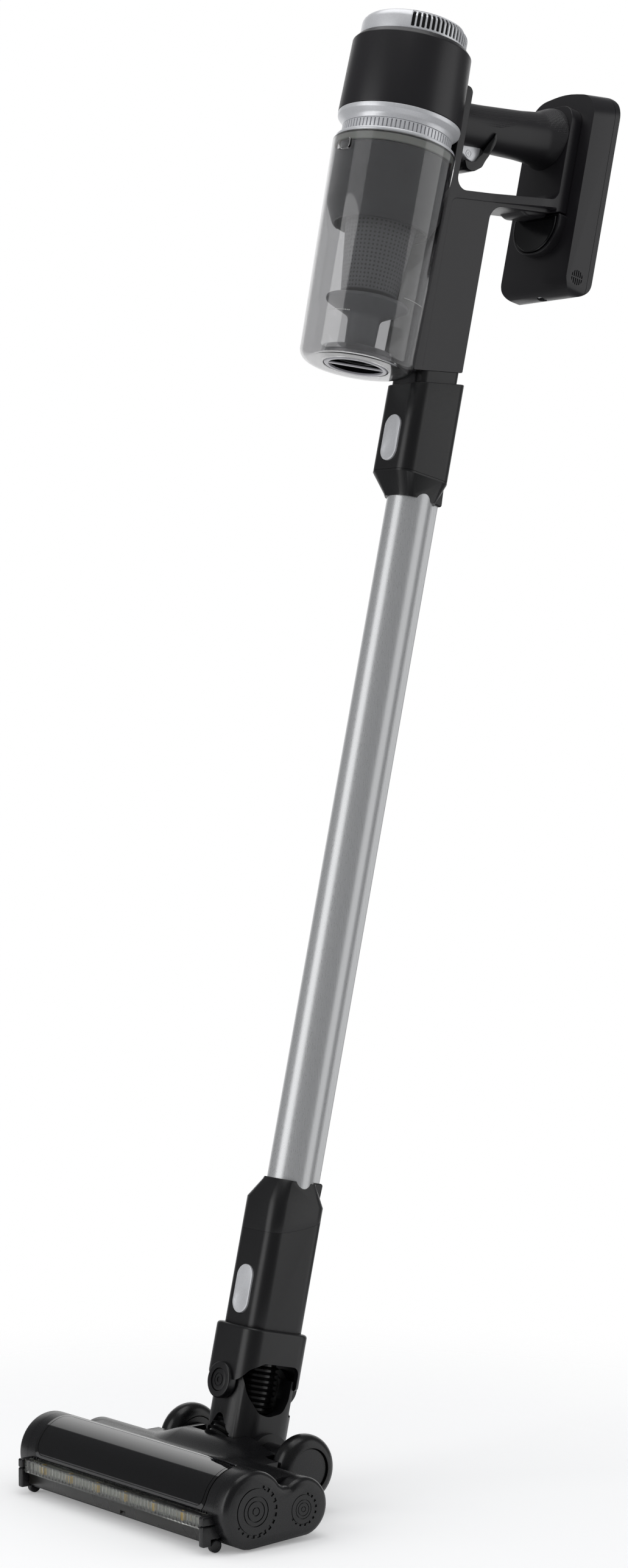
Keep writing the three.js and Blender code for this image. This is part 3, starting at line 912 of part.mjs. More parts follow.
function buildFrame() {
  const front = CUP_Y + 30;
  const side = outline([[front, riseAt(SPINE_BOTTOM, front)], [SPINE_BACK, riseAt(SPINE_BOTTOM, SPINE_BACK)],
    [SPINE_BACK, riseAt(BRIDGE_TOP - BRIDGE_THICK, SPINE_BACK), 14],
    [PLATE_FRONT + 2, riseAt(BRIDGE_TOP - BRIDGE_THICK, PLATE_FRONT + 2)],
    [PLATE_FRONT + 2, riseAt(BRIDGE_TOP, PLATE_FRONT + 2)],
    [SPINE_THIN_BACK, riseAt(BRIDGE_TOP, SPINE_THIN_BACK), 9], [SPINE_THIN_BACK, TONGUE_TOP, 5],
    [front, TONGUE_TOP]]);
  const body = prismX(side, -SPINE_HALF, SPINE_HALF);
  const web = prismX(outline([[SPINE_BACK + 12, riseAt(BRIDGE_TOP - 5, SPINE_BACK + 12)],
    [SPINE_BACK + 22, riseAt(BRIDGE_TOP - BRIDGE_THICK - WEB_DEPTH, SPINE_BACK + 22), 6],
    [PLATE_FRONT + 2, riseAt(BRIDGE_TOP - BRIDGE_THICK - 1, PLATE_FRONT + 2)],
    [PLATE_FRONT + 2, riseAt(BRIDGE_TOP - 5, PLATE_FRONT + 2)]]), -SPINE_HALF * 0.55, SPINE_HALF * 0.55);
  const plate = prismY(outline([[-PLATE_HALF, PLATE_LOW, 5], [PLATE_HALF, PLATE_LOW, 5],
    [PLATE_HALF, PLATE_TOP, 14], [-PLATE_HALF, PLATE_TOP, 14]]), PLATE_FRONT, BATTERY_FRONT - SEAM);
  const room = SEAM + 0.2;
  const barrelRoom = aboutCup([[0, CUP_BASE - 36], [CUP_LOW_R + room, CUP_BASE - 36],
    [CUP_LOW_R + room, CUP_LOW],
    [CUP_TOP_R + room, CUP_TOP], [HOUSING_LOW_R + room, HOUSING_LOW], [HOUSING_TOP_R + room, HOUSING_TOP + 4],
    [HOUSING_TOP_R + room, EXHAUST_TOP + 8], [0, EXHAUST_TOP + 8]]);
  const duct = barZ(DUCT_R, SPINE_BOTTOM - 34, DUCT_TOP, 0, DUCT_Y);
  const port = block(-PORT_HALF, PORT_HALF, CUP_Y + 40, DUCT_Y, PORT_LOW, PORT_HIGH);
  piece(stick, 'handle_frame', cut(joined(body, web, plate), barrelRoom, duct, port), MATT_BLACK);
  const bandY = SPINE_BACK - BAND_D / 2;
  const band = cut(prismZ(box2(-BAND_W / 2, BAND_W / 2, bandY - BAND_D / 2, bandY + BAND_D / 2, 8),
    SPIGOT_LOW - 8, SPINE_BOTTOM + 26),
    aboveRise(SPINE_BOTTOM - SEAM), belowRise(UPPER_COLLAR_TOP + SEAM), barrelRoom);
  const pipe = barZ(SPIGOT_R, SPIGOT_LOW, riseAt(UPPER_COLLAR_TOP, 0) + 4, 0, DUCT_Y);
  const bore = barZ(SPIGOT_R - SPIGOT_WALL, SPIGOT_LOW - 28, SPINE_BOTTOM + 46, 0, DUCT_Y);
  piece(stick, 'inlet_spigot', cut(joined(band, pipe), bore), MATT_BLACK);
}

function buildGrip() {
  const along = (y) => (y - GRIP_Y) / Math.cos(GRIP_ANGLE);
  const profile = [[0, along(SPINE_THIN_BACK) - 12], [GRIP_R, along(SPINE_THIN_BACK) - 12], [GRIP_R, along(5)],
    [GRIP_R + 0.9, along(40)], [GRIP_REAR_R, along(60)], [GRIP_REAR_R + 1.6, along(68)],
    [GRIP_FLARE_R, along(PLATE_FRONT)], [GRIP_FLARE_R + 1, along(PLATE_FRONT) + 12],
    [0, along(PLATE_FRONT) + 12]];
  const lie = (shape3) => shape3.rotate([-90 + THREE.MathUtils.radToDeg(GRIP_ANGLE), 0, 0])
    .translate([0, GRIP_Y, GRIP_Z]);
  const body = lie(turned(profile));
  const bore = lie(barZ(GRIP_R - 4.5, -200, 200, 0, 0));
  const between = block(-FAR, FAR, SPINE_THIN_BACK + SEAM, PLATE_FRONT - SEAM, GRIP_Z - FAR, GRIP_Z + FAR);
  const slotHalf = TRIGGER_W / 2 + RUNNING;
  const slot = block(-slotHalf, slotHalf, -17.5, 10.5, GRIP_Z - 57.5, GRIP_Z - 15.5);
  piece(stick, 'hand_grip', cut(body, bore, slot).intersect(between), MATT_BLACK);
  const hook = prismX(outline([[-4.8, GRIP_Z - 35.8, 1], [3.9, GRIP_Z - 40.9, 2], [13.1, GRIP_Z - 31.3, 8],
    [18.7, GRIP_Z - 22.1, 4], [18.5, GRIP_Z - 13.5], [-3, GRIP_Z - 13.5]]), -GUARD_W / 2, GUARD_W / 2);
  const pocket = block(-slotHalf, slotHalf, -30, 5 + TRIGGER_TRAVEL + RUNNING, GRIP_Z - 38.1, GRIP_Z);
  const keepOut = lie(turned(profile.map(([radius, z]) => [radius && radius + SEAM, z])));
  piece(stick, 'trigger_guard', cut(hook, keepOut, pocket), GLOSS_BLACK);
  piece(stick, 'trigger', prismX(outline([[-16, GRIP_Z - 27.5, 3], [-12.5, GRIP_Z - 36, 4],
    [4, GRIP_Z - 37.5, 2], [5, GRIP_Z - 20.5], [-15, GRIP_Z - 21, 1]]), -TRIGGER_W / 2, TRIGGER_W / 2),
  SATIN_SILVER);
  piece(stick, 'trigger_switch', block(-4, 4, -2, 10, GRIP_Z - 14.5, GRIP_Z - 7.5), DARK_GREY);
}

// ---- handheld: battery ------------------------------------------------------------------------
function batteryShape(inset) {
  const frontY = BATTERY_FRONT + inset;
  const backY = BATTERY_BACK - inset;
  const half = BATTERY_HALF - inset;
  const low = BATTERY_LOW + inset;
  const top = BATTERY_TOP - inset;
  const bottomR = (backY - frontY) / 2 - 0.05;
  const sideView = prismX(outline([[frontY, low, bottomR], [backY, low, bottomR],
    [backY, top + (backY - BATTERY_FRONT) * HANDLE_RISE, 10 - inset],
    [frontY, top + (frontY - BATTERY_FRONT) * HANDLE_RISE]], 15), -half, half);
  const front = prismY(outline([[-half, low - 60], [half, low - 60], [half, top - 6, 22 - inset],
    [0, top + 0.5, 90], [-half, top - 6, 22 - inset]], 12), frontY - 5, backY + 5);
  const shear = front.transform([1, 0, 0, 0, 0, 1, HANDLE_RISE, 0, 0, 0, 1, 0,
    0, 0, -BATTERY_FRONT * HANDLE_RISE, 1]);
  return sideView.intersect(shear);
}

function buildBattery() {
  const outer = batteryShape(0);
  const room = batteryShape(BATTERY_WALL);
  const split = (from, to) => block(-FAR, FAR, from, to, BATTERY_LOW - FAR, BATTERY_TOP + FAR);
  const tabLow = TAB_TOP - TAB_HEIGHT;
  const rim = 3;                 // housing beside the tab
  const boss = prismY(outline([[-TAB_HALF - rim, tabLow - rim, 8], [TAB_HALF + rim, tabLow - rim, 8],
    [TAB_HALF + rim, TAB_TOP + 2], [-TAB_HALF - rim, TAB_TOP + 2]]), BOSS_FRONT, BATTERY_FRONT + 1);
  const tabPocket = prismY(outline([[-TAB_HALF - RUNNING, tabLow - RUNNING, 14],
    [TAB_HALF + RUNNING, tabLow - RUNNING, 14],
    [TAB_HALF + RUNNING, TAB_TOP + RUNNING], [-TAB_HALF - RUNNING, TAB_TOP + RUNNING]]),
  BOSS_FRONT - OVERSHOOT, TAB_FRONT + TAB_THICK + TAB_TRAVEL + RUNNING);
  const jack = barZ(JACK_R + SEAM, BATTERY_LOW - 5, BATTERY_LOW + 5, 0, CELL_Y);
  const vent = barX(3, BATTERY_HALF - 5, BATTERY_HALF + 5, CELL_Y - 1.3, BATTERY_LOW + 14.7);
  const caseBody = cut(joined(cut(outer, room).intersect(split(0, BATTERY_SEAM - SEAM)), boss), tabPocket,
    jack, vent);
  piece(stick, 'battery_case', caseBody, MATT_BLACK);
  piece(stick, 'battery_cover', cut(outer, room).intersect(split(BATTERY_SEAM, 200)), MATT_BLACK);
  piece(stick, 'battery_latch', prismY(outline([[-TAB_HALF, tabLow, 14], [TAB_HALF, tabLow, 14],
    [TAB_HALF, TAB_TOP], [-TAB_HALF, TAB_TOP]]), TAB_FRONT, TAB_FRONT + TAB_THICK), DARK_GREY);
  const half = CELL_LENGTH / 2;
  const cells = Array.from({ length: CELL_COUNT }, (_, k) =>
    barX(CELL_R, -half, half, CELL_Y, FIRST_CELL_Z + k * CELL_PITCH));
  const strips = [-1, 1].map((side) => block(Math.min(side * (half - 0.2), side * (half + TAB_STRIP)),
    Math.max(side * (half - 0.2), side * (half + TAB_STRIP)), CELL_Y - 4, CELL_Y + 4, FIRST_CELL_Z - 4,
    FIRST_CELL_Z + (CELL_COUNT - 1) * CELL_PITCH + 4));
  piece(stick, 'cell_pack', joined(strips[0], ...cells, strips[1]), CELL_BLUE);
  piece(stick, 'battery_board', block(-30, 30, CELL_Y - 1, CELL_Y + 0.6, BATTERY_TOP - 38,
    BATTERY_TOP - 10), BOARD_GREEN);
  piece(stick, 'charge_socket', ring(JACK_R, JACK_R - 1.6, BATTERY_LOW + 1.2, BATTERY_LOW + 12, 0, CELL_Y),
    STEEL);
}

buildTube();
buildUpperCollar();
buildLowerCollar();
buildInlet();
buildSleeve();
buildYoke();
piece(stick, 'upper_hose', bellows(HOSE_JOIN + SEAM, HOSE_TOP), RUBBER);
lowerHose();
buildHeadShells();
piece(head, 'drive_end_cap', endCap(1), GLOSS_BLACK);
piece(head, 'idle_end_cap', endCap(-1), GLOSS_BLACK);
buildLamp();
buildBrush();
buildWheels();
buildCup();
buildMotor();
buildFrame();
buildGrip();
buildBattery();

// The whole vacuum is moved so that the centre of the grip is the origin.
const gripCentre = new THREE.Vector3(0, GRIP_Y, GRIP_Z).applyEuler(stick.rotation).add(stick.position);
stick.position.sub(gripCentre);
head.position.sub(gripCentre);

export default group;
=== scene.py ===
"""Cordless stick vacuum: the detailed model, its finishes and a plain studio."""

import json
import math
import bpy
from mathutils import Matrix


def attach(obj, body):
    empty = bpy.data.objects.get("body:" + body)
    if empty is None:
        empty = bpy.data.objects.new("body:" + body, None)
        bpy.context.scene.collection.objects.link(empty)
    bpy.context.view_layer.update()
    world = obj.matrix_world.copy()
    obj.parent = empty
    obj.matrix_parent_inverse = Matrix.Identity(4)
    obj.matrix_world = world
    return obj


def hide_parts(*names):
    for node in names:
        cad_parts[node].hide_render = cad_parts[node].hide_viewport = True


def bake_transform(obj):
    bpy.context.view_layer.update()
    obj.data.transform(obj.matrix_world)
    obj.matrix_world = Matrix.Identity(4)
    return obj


bl_info = {
    "name": "Cordless stick vacuum",
    "version": (1, 0, 0),
    "blender": (4, 5, 0),
    "location": "View3D > Sidebar > Vacuum",
    "description": "Builds a cordless stick vacuum, its finishes and a plain studio",
    "category": "Add Mesh",
}

import bmesh
import bpy
from bpy.props import FloatProperty, FloatVectorProperty, IntProperty
from mathutils import Matrix, Vector

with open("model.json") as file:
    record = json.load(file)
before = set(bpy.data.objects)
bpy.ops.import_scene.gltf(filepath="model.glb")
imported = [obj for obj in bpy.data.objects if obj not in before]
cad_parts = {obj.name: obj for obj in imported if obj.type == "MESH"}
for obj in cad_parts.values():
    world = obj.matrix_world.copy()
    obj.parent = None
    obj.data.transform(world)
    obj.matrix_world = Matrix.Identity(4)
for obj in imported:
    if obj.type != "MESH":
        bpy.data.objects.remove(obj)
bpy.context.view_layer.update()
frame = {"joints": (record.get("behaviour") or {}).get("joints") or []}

# ---- the two drawing frames --------------------------------------------------------------------
# Everything is drawn in millimetres. Handheld, wand and neck are drawn in the wand's frame: z runs up
# the tube's centre line from the height of the wheel axle, y points to the back. The head is drawn
# from the floor up, with y from the front to the back.
JOINTS = {joint["name"]: joint for joint in frame["joints"]}
AXLE = Vector(JOINTS["neck_pitch"]["pos_m"])
BACK = Vector(JOINTS["neck_roll"]["axis"])
UP = Vector(JOINTS["fan_spin"]["axis"])
MM = 0.001
AXLE_Y = 126
AXLE_Z = 36
WAND_AHEAD = 2.5               # tube centre line ahead of the wheel axle
TILT = 13                      # degrees by which the wand leans back
RISE = math.tan(math.radians(TILT))   # slope of the handle's lines
REACH = 200                    # half the length of a shape that cuts right across a piece

# ---- places in the wand's frame ----------------------------------------------------------------
CUP_Y = -78                    # centre line of cup and motor
CUP_BASE = 856.5
CUP_TOP = 1037
KNOB_DEPTH = 12
BAR_ANGLE = 50                 # degrees by which the knob's locked bar is turned from across the cup
FLUTE_LOW = 1041
FLARE_LOW = 1049.5
HOUSING_LOW = 1060
HOUSING_TOP = 1120
CAP_LOW = 1124.3
CAP_TOP = 1141.5
SHROUD_TOP = 1029
CONE_LOW = 917
SKIRT_LOW = 869
PORT_LOW = 976                 # the port by which air and dust enter the cup
PORT_TOP = 998
DUCT_Y = -7                    # centre line of the duct in the spine and of its spigot
SPIGOT_LOW = 864.1             # the spigot's band, seen between spine and collar
SPIGOT_TOP = 873.4
SPINE_LOW = 873.7
BRIDGE_LOW = 1015.3            # the bridge below the hand, at the tube's centre line
BAND_LOW = 1018.2              # lower edge of the raised band along its flanks
BRIDGE_TOP = 1025.3
PLATE_FRONT = 77
PLATE_BACK = 88.2
PLATE_TOP = 1126
GUARD_HALF = 20
SLOT_HALF = 6.35               # half the width of the slot that the trigger moves in
TRIGGER_HALF = 5.75
GRIP_Y = 25
GRIP_FRONT = -25
GRIP_BACK = 77
GRIP_Z = 1087.5
GRIP_ANGLE = 11                # degrees by which the grip rises to the back
BATTERY_FRONT = 88.5
BATTERY_BACK = 117.5
BATTERY_SEAM = 112.3
BATTERY_LOW = 967.3
BATTERY_TOP = 1142
BATTERY_WALL = 2.6
CELL_Y = 101.5
VENT_Z = 982
TUBE_LOW = 204
TUBE_TOP = 777
TUBE_WALL = 1.6
CONE_HEIGHT = 17.3
UPPER_Y = -4                   # centre of the upper collar
UPPER_LOW = 786
UPPER_TOP = 863.8
UPPER_BUTTON = 812
LOWER_Y = -1.2                 # centre of the lower collar
LOWER_TOP = 213.8
LOWER_BUTTON = 125
SEAM_Z = 171.3                 # seam between the lower collar and the inlet, at its front
SLEEVE_Y = -1.8
SLEEVE_TOP = 97
ROLL_Z = 53                    # side-to-side pivot of the neck
ROLL = 34                      # degrees of roll to each side
SLEEVE_WALL = 4
BOSS_RADIUS = 14
YOKE_HALF = 26
YOKE_BACK = 30.5
BARREL_HALF = 31               # the yoke's barrel on the axle

# ---- places in the head's frame ----------------------------------------------------------------
BRUSH_Y = 33
BRUSH_Z = 29.5
REAR_Y = 79
REAR_Z = 25.5
SPLIT_Z = 21                   # seam between cover and base
SOLE_Z = 1.6
SHELL = 2.4                    # wall of the head's shells
CAP_DEPTH = 14                 # of the end caps
WINDOW_HALF = 113
WINDOW_LOW = 181               # the window's edges, in degrees round the brush from the back
WINDOW_HIGH = 82
LAMP_HALF = 117
LAMP_FRONT = -3
LAMP_LOW = 17.6
LAMP_TOP = 28
LAMP_BACK = 5
STRIP_FRONT = 1.4
STRIP_LOW = 8
CASTER_X = 119.5
HOSE_END_Y = 97                # where the lower hose meets the head's dust way
HOSE_END_Z = 31
CHEEK_HALF = 61                # cheeks that hold the axle
WHEEL_INNER = 63
WHEEL_OUTER = 83
AXLE_HOLE = 4.1
CASTER_Y = 8
CASTER_Z = 5


def axes(side, back, up, origin):
    """A matrix that takes millimetres along three axes to metres about an origin."""
    columns = Matrix((side, back, up)).transposed() * MM
    return Matrix.Translation(origin) @ columns.to_4x4()


STICK = axes(Vector((1, 0, 0)), BACK, UP, AXLE - WAND_AHEAD * MM * BACK)
HEAD = axes(Vector((1, 0, 0)), Vector((0, 1, 0)), Vector((0, 0, 1)), AXLE - Vector((0, AXLE_Y, AXLE_Z)) * MM)
TILTED = HEAD.inverted() @ STICK      # a point of the wand's frame, seen in the head's frame


# ---- drawing -----------------------------------------------------------------------------------
def clear():
    """Back to object mode with nothing selected."""
    if bpy.context.mode != "OBJECT":
        bpy.ops.object.mode_set(mode="OBJECT")
    bpy.ops.object.select_all(action="DESELECT")


def only(piece):
    clear()
    piece.select_set(True)
    bpy.context.view_layer.objects.active = piece


def start(name, primitive, **settings):
    """A new primitive in millimetres, alone, named and with its place in its mesh."""
    clear()
    primitive(**settings)
    piece = bpy.context.object
    piece.name = name
    bpy.ops.object.transform_apply(location=True, rotation=True, scale=True)
    return piece


def edit(piece, kind="VERT"):
    """Edit mode on one piece, with nothing selected."""
    only(piece)
    bpy.ops.object.mode_set(mode="EDIT")
    bpy.ops.mesh.select_mode(type=kind)
    bpy.ops.mesh.select_all(action="DESELECT")


def pick_faces(piece, test):
    """Selects the faces whose middle passes the test, and no others."""
    edit(piece, "FACE")
    mesh = bmesh.from_edit_mesh(piece.data)
    for face in mesh.faces:
        face.select_set(test(face.calc_center_median()))
    mesh.select_flush_mode()
    bmesh.update_edit_mesh(piece.data)


def outline(corners, step=8):
    """Points round corners (u, v, radius); a rounded corner is an arc in steps of that many degrees."""
    points = []
    for index, corner in enumerate(corners):
        here = Vector(corner[:2])
        radius = corner[2] if len(corner) > 2 else 0
        if radius == 0:
            points.append(here)
            continue
        back = (Vector(corners[index - 1][:2]) - here).normalized()
        ahead = (Vector(corners[(index + 1) % len(corners)][:2]) - here).normalized()
        half = back.angle(ahead) / 2
        inward = (back + ahead).normalized()
        centre = here + inward * radius / math.sin(half)
        first = here + back * radius / math.tan(half) - centre
        sweep = math.pi - 2 * half
        turn = 1 if first.x * -inward.y + first.y * inward.x > 0 else -1
        count = max(1, round(math.degrees(sweep) / step))
        for k in range(count + 1):
            angle = turn * sweep * k / count
            points.append(centre + Matrix.Rotation(angle, 2) @ first)
    return points


def line(name, points):
    """One vertex pulled from point to point."""
    piece = start(name, bpy.ops.mesh.primitive_plane_add, size=1, location=points[0])
    edit(piece)
    bpy.ops.mesh.select_all(action="SELECT")
    bpy.ops.mesh.merge(type="CENTER")
    for here, there in zip(points, points[1:]):
        bpy.ops.mesh.extrude_vertices_move(TRANSFORM_OT_translate={"value": there - here})
    return piece


def merge(piece):
    """Joins points that lie in one place."""
    edit(piece)
    bpy.ops.mesh.select_all(action="SELECT")
    bpy.ops.mesh.remove_doubles(threshold=0.002)
    return piece


def face_out(piece):
    """Merges what touches and turns every face outwards."""
    merge(piece)
    bpy.ops.mesh.delete_loose()
    bpy.ops.mesh.select_all(action="SELECT")
    bpy.ops.mesh.normals_make_consistent(inside=False)
    bpy.ops.object.mode_set(mode="OBJECT")
    return piece


ACROSS = {
    "X": lambda u, v, w: Vector((w, u, v)),
    "Y": lambda u, v, w: Vector((u, w, v)),
    "Z": lambda u, v, w: Vector((u, v, w)),
}


def prism(name, corners, axis, low, high, step=8):
    """An outline drawn across an axis, filled and pulled along it."""
    flat = outline(corners, step)
    piece = line(name, [ACROSS[axis](u, v, low) for u, v in flat])
    bpy.ops.mesh.select_all(action="SELECT")
    bpy.ops.mesh.edge_face_add()
    pull = ACROSS[axis](0, 0, high - low)
    bpy.ops.mesh.extrude_region_move(TRANSFORM_OT_translate={"value": pull})
    return face_out(piece)


def turned(name, corners, x=0, y=0, steps=96, step=15):
    """A profile of (radius, z, fillet) spun about the upright line through (x, y)."""
    flat = outline(corners, step)
    if corners[0][0] > 0:
        flat.append(flat[0])
    piece = line(name, [Vector((x + r, y, z)) for r, z in flat])
    bpy.ops.mesh.select_all(action="SELECT")
    bpy.ops.mesh.spin(steps=steps, angle=2 * math.pi, center=(x, y, 0), axis=(0, 0, 1))
    return face_out(piece)


def turned_x(name, corners, y, z, steps=96, step=15):
    """A profile of (radius, x, fillet) spun about the line along X through (y, z)."""
    flat = outline(corners, step)
    if corners[0][0] > 0:
        flat.append(flat[0])
    piece = line(name, [Vector((along, y + r, z)) for r, along in flat])
    bpy.ops.mesh.select_all(action="SELECT")
    bpy.ops.mesh.spin(steps=steps, angle=2 * math.pi, center=(0, y, z), axis=(1, 0, 0))
    return face_out(piece)


def box(name, low, high):
    low, high = Vector(low), Vector(high)
    return start(name, bpy.ops.mesh.primitive_cube_add, size=1, location=(low + high) / 2,
                 scale=high - low)


def rod(name, axis, radius, low, high, u, v, steps=96):
    """A round bar along an axis through (u, v)."""
    turn = {"X": (0, math.pi / 2, 0), "Y": (math.pi / 2, 0, 0), "Z": (0, 0, 0)}[axis]
    return start(name, bpy.ops.mesh.primitive_cylinder_add, vertices=steps, radius=radius,
                 depth=high - low, location=ACROSS[axis](u, v, (low + high) / 2), rotation=turn)


def add_modifier(piece, kind, **settings):
    """Adds a modifier with its settings and applies it."""
    only(piece)
    bpy.ops.object.modifier_add(type=kind)
    modifier = piece.modifiers[-1]
    for key, value in settings.items():
        setattr(modifier, key, value)
    bpy.ops.object.modifier_apply(modifier=modifier.name)
    return piece


def combine(operation, piece, tools):
    for tool in tools:
        add_modifier(piece, "BOOLEAN", operation=operation, object=tool, solver="MANIFOLD")
        bpy.data.objects.remove(tool, do_unlink=True)
    return piece


def carve(piece, *tools):
    return combine("DIFFERENCE", piece, tools)


def fuse(piece, *tools):
    return combine("UNION", piece, tools)


def common(piece, *tools):
    return combine("INTERSECT", piece, tools)


def soften(piece, width, segments=3, angle=32):
    """Rounds every edge that is sharper than the angle."""
    return add_modifier(piece, "BEVEL", width=width, segments=segments, limit_method="ANGLE",
                        angle_limit=math.radians(angle), miter_outer="MITER_ARC")


def move(piece, matrix):
    piece.matrix_world = matrix @ piece.matrix_world
    only(piece)
    bpy.ops.object.transform_apply(location=True, rotation=True, scale=True)
    return piece


def copy(piece, name, matrix=Matrix()):
    """A copy with its own mesh, moved by a matrix."""
    only(piece)
    bpy.ops.object.duplicate(linked=False)
    twin = bpy.context.object
    twin.name = name
    move(twin, matrix)
    if matrix.determinant() < 0:
        face_out(twin)
    return twin


def join(name, *pieces):
    """Several loose shapes as one piece."""
    only(pieces[0])
    for piece in pieces[1:]:
        piece.select_set(True)
    bpy.ops.object.join()
    pieces[0].name = name
    return pieces[0]


MIRROR = Matrix.Diagonal((-1, 1, 1, 1))


def loft(name, loops):
    """Closed loops of equally many points, bridged in order and closed at both ends."""
    rings = [line(f"{name}_{k}", [*loop, loop[0]]) for k, loop in enumerate(loops)]
    piece = merge(join(name, *rings))
    edit(piece, "EDGE")
    bpy.ops.mesh.select_all(action="SELECT")
    bpy.ops.mesh.bridge_edge_loops()
    bpy.ops.mesh.select_all(action="SELECT")
    bpy.ops.mesh.fill_holes(sides=0)
    return face_out(piece)


def about(angle, x=0, y=0):
    """A turn in degrees about the upright line through (x, y)."""
    centre = Matrix.Translation((x, y, 0))
    return centre @ Matrix.Rotation(math.radians(angle), 4, "Z") @ centre.inverted()


def band(name, corners, first, last, x, y, steps):
    """A closed profile of (radius, z) swept from one angle to another, with both ends closed."""
    piece = line(name, [Vector((x + r, y, z)) for r, z in outline(corners)])
    bpy.ops.mesh.select_all(action="SELECT")
    bpy.ops.mesh.edge_face_add()
    bpy.ops.mesh.spin(steps=steps, angle=-math.radians(last - first), center=(x, y, 0), axis=(0, 0, 1))
    face_out(piece)
    return move(piece, about(first, x, y))


def arc(u, v, radius, first, last, step):
    """Corners along an arc from one angle to another, in steps of about that many degrees."""
    count = max(1, round(abs(last - first) / step))
    angles = [math.radians(first + (last - first) * k / count) for k in range(count + 1)]
    return [(u + radius * math.cos(angle), v + radius * math.sin(angle)) for angle in angles]


def rounded(u0, u1, v0, v1, radius):
    return [(u0, v0, radius), (u1, v0, radius), (u1, v1, radius), (u0, v1, radius)]


def keep(piece, place, body, slot, finish, *nodes, smooth=35):
    """Puts a finished piece in its place, with its finish, its body and the CAD nodes that it stands for."""
    move(piece, place)
    bpy.ops.object.shade_smooth_by_angle(angle=math.radians(smooth))
    piece.data.materials.clear()
    piece.data.materials.append(bpy.data.materials[finish])
    if nodes:
        piece.name = f"{nodes[0]}_fine"
        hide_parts(*nodes)
    if body:
        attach(piece, body)


# ---- finishes ----------------------------------------------------------------------------------
def linear(code):
    """An sRGB hex colour as the linear colour that a shader's socket holds."""
    parts = [int(code[k:k + 2], 16) / 255 for k in (0, 2, 4)]
    return (*[p / 12.92 if p <= 0.04045 else ((p + 0.055) / 1.055) ** 2.4 for p in parts], 1.0)


def node(tree, kind, inputs=None, **settings):
    """Adds a node with its settings; an input is a value or another node's output."""
    made = tree.nodes.new(kind)
    for key, value in settings.items():
        setattr(made, key, value)
    for socket, value in (inputs or {}).items():
        if isinstance(value, bpy.types.NodeSocket):
            tree.links.new(value, made.inputs[socket])
        else:
            made.inputs[socket].default_value = value
    return made


def blank(name, values):
    """A material with one shader, and the coordinates of the piece that it is on."""
    material = bpy.data.materials.new(name)
    material.use_nodes = True
    tree = material.node_tree
    tree.nodes.clear()
    shader = node(tree, "ShaderNodeBsdfPrincipled", values)
    node(tree, "ShaderNodeOutputMaterial", {"Surface": shader.outputs["BSDF"]})
    return tree, shader, node(tree, "ShaderNodeTexCoord").outputs["Object"]


def spread(tree, value, low, high):
    """Takes a noise's usual span to the span from low to high."""
    return node(tree, "ShaderNodeMapRange", {"Value": value, "From Min": 0.3, "From Max": 0.7,
                                             "To Min": low, "To Max": high}).outputs["Result"]


def mottle(tree, shader, place, colour, amount, size):
    """Clouds of slightly lighter and darker colour, of that size in millimetres."""
    cloud = node(tree, "ShaderNodeTexNoise", {"Vector": place, "Scale": 1 / (size * MM), "Detail": 2.0})
    value = spread(tree, cloud.outputs["Fac"], 1 - amount, 1 + amount)
    tint = node(tree, "ShaderNodeHueSaturation", {"Color": colour, "Value": value})
    tree.links.new(tint.outputs["Color"], shader.inputs["Base Color"])


def grain(tree, shader, place, size, depth, rough):
    """Raises a grain of that size and depth in millimetres, and varies the gloss with it."""
    noise = node(tree, "ShaderNodeTexNoise", {"Vector": place, "Scale": 1 / (size * MM), "Detail": 3.0,
                                              "Roughness": 0.6})
    bump = node(tree, "ShaderNodeBump", {"Height": noise.outputs["Fac"], "Distance": depth * MM})
    tree.links.new(bump.outputs["Normal"], shader.inputs["Normal"])
    tree.links.new(spread(tree, noise.outputs["Fac"], rough - 0.05, rough + 0.05),
                   shader.inputs["Roughness"])


def moulded(name, colour, rough, size, depth, amount=0.05, **values):
    """Plastic or rubber from a textured mould: fine grain, and slow clouds in its colour."""
    tree, shader, place = blank(name, values)
    mottle(tree, shader, place, colour, amount, 45)
    grain(tree, shader, place, size, depth, rough)


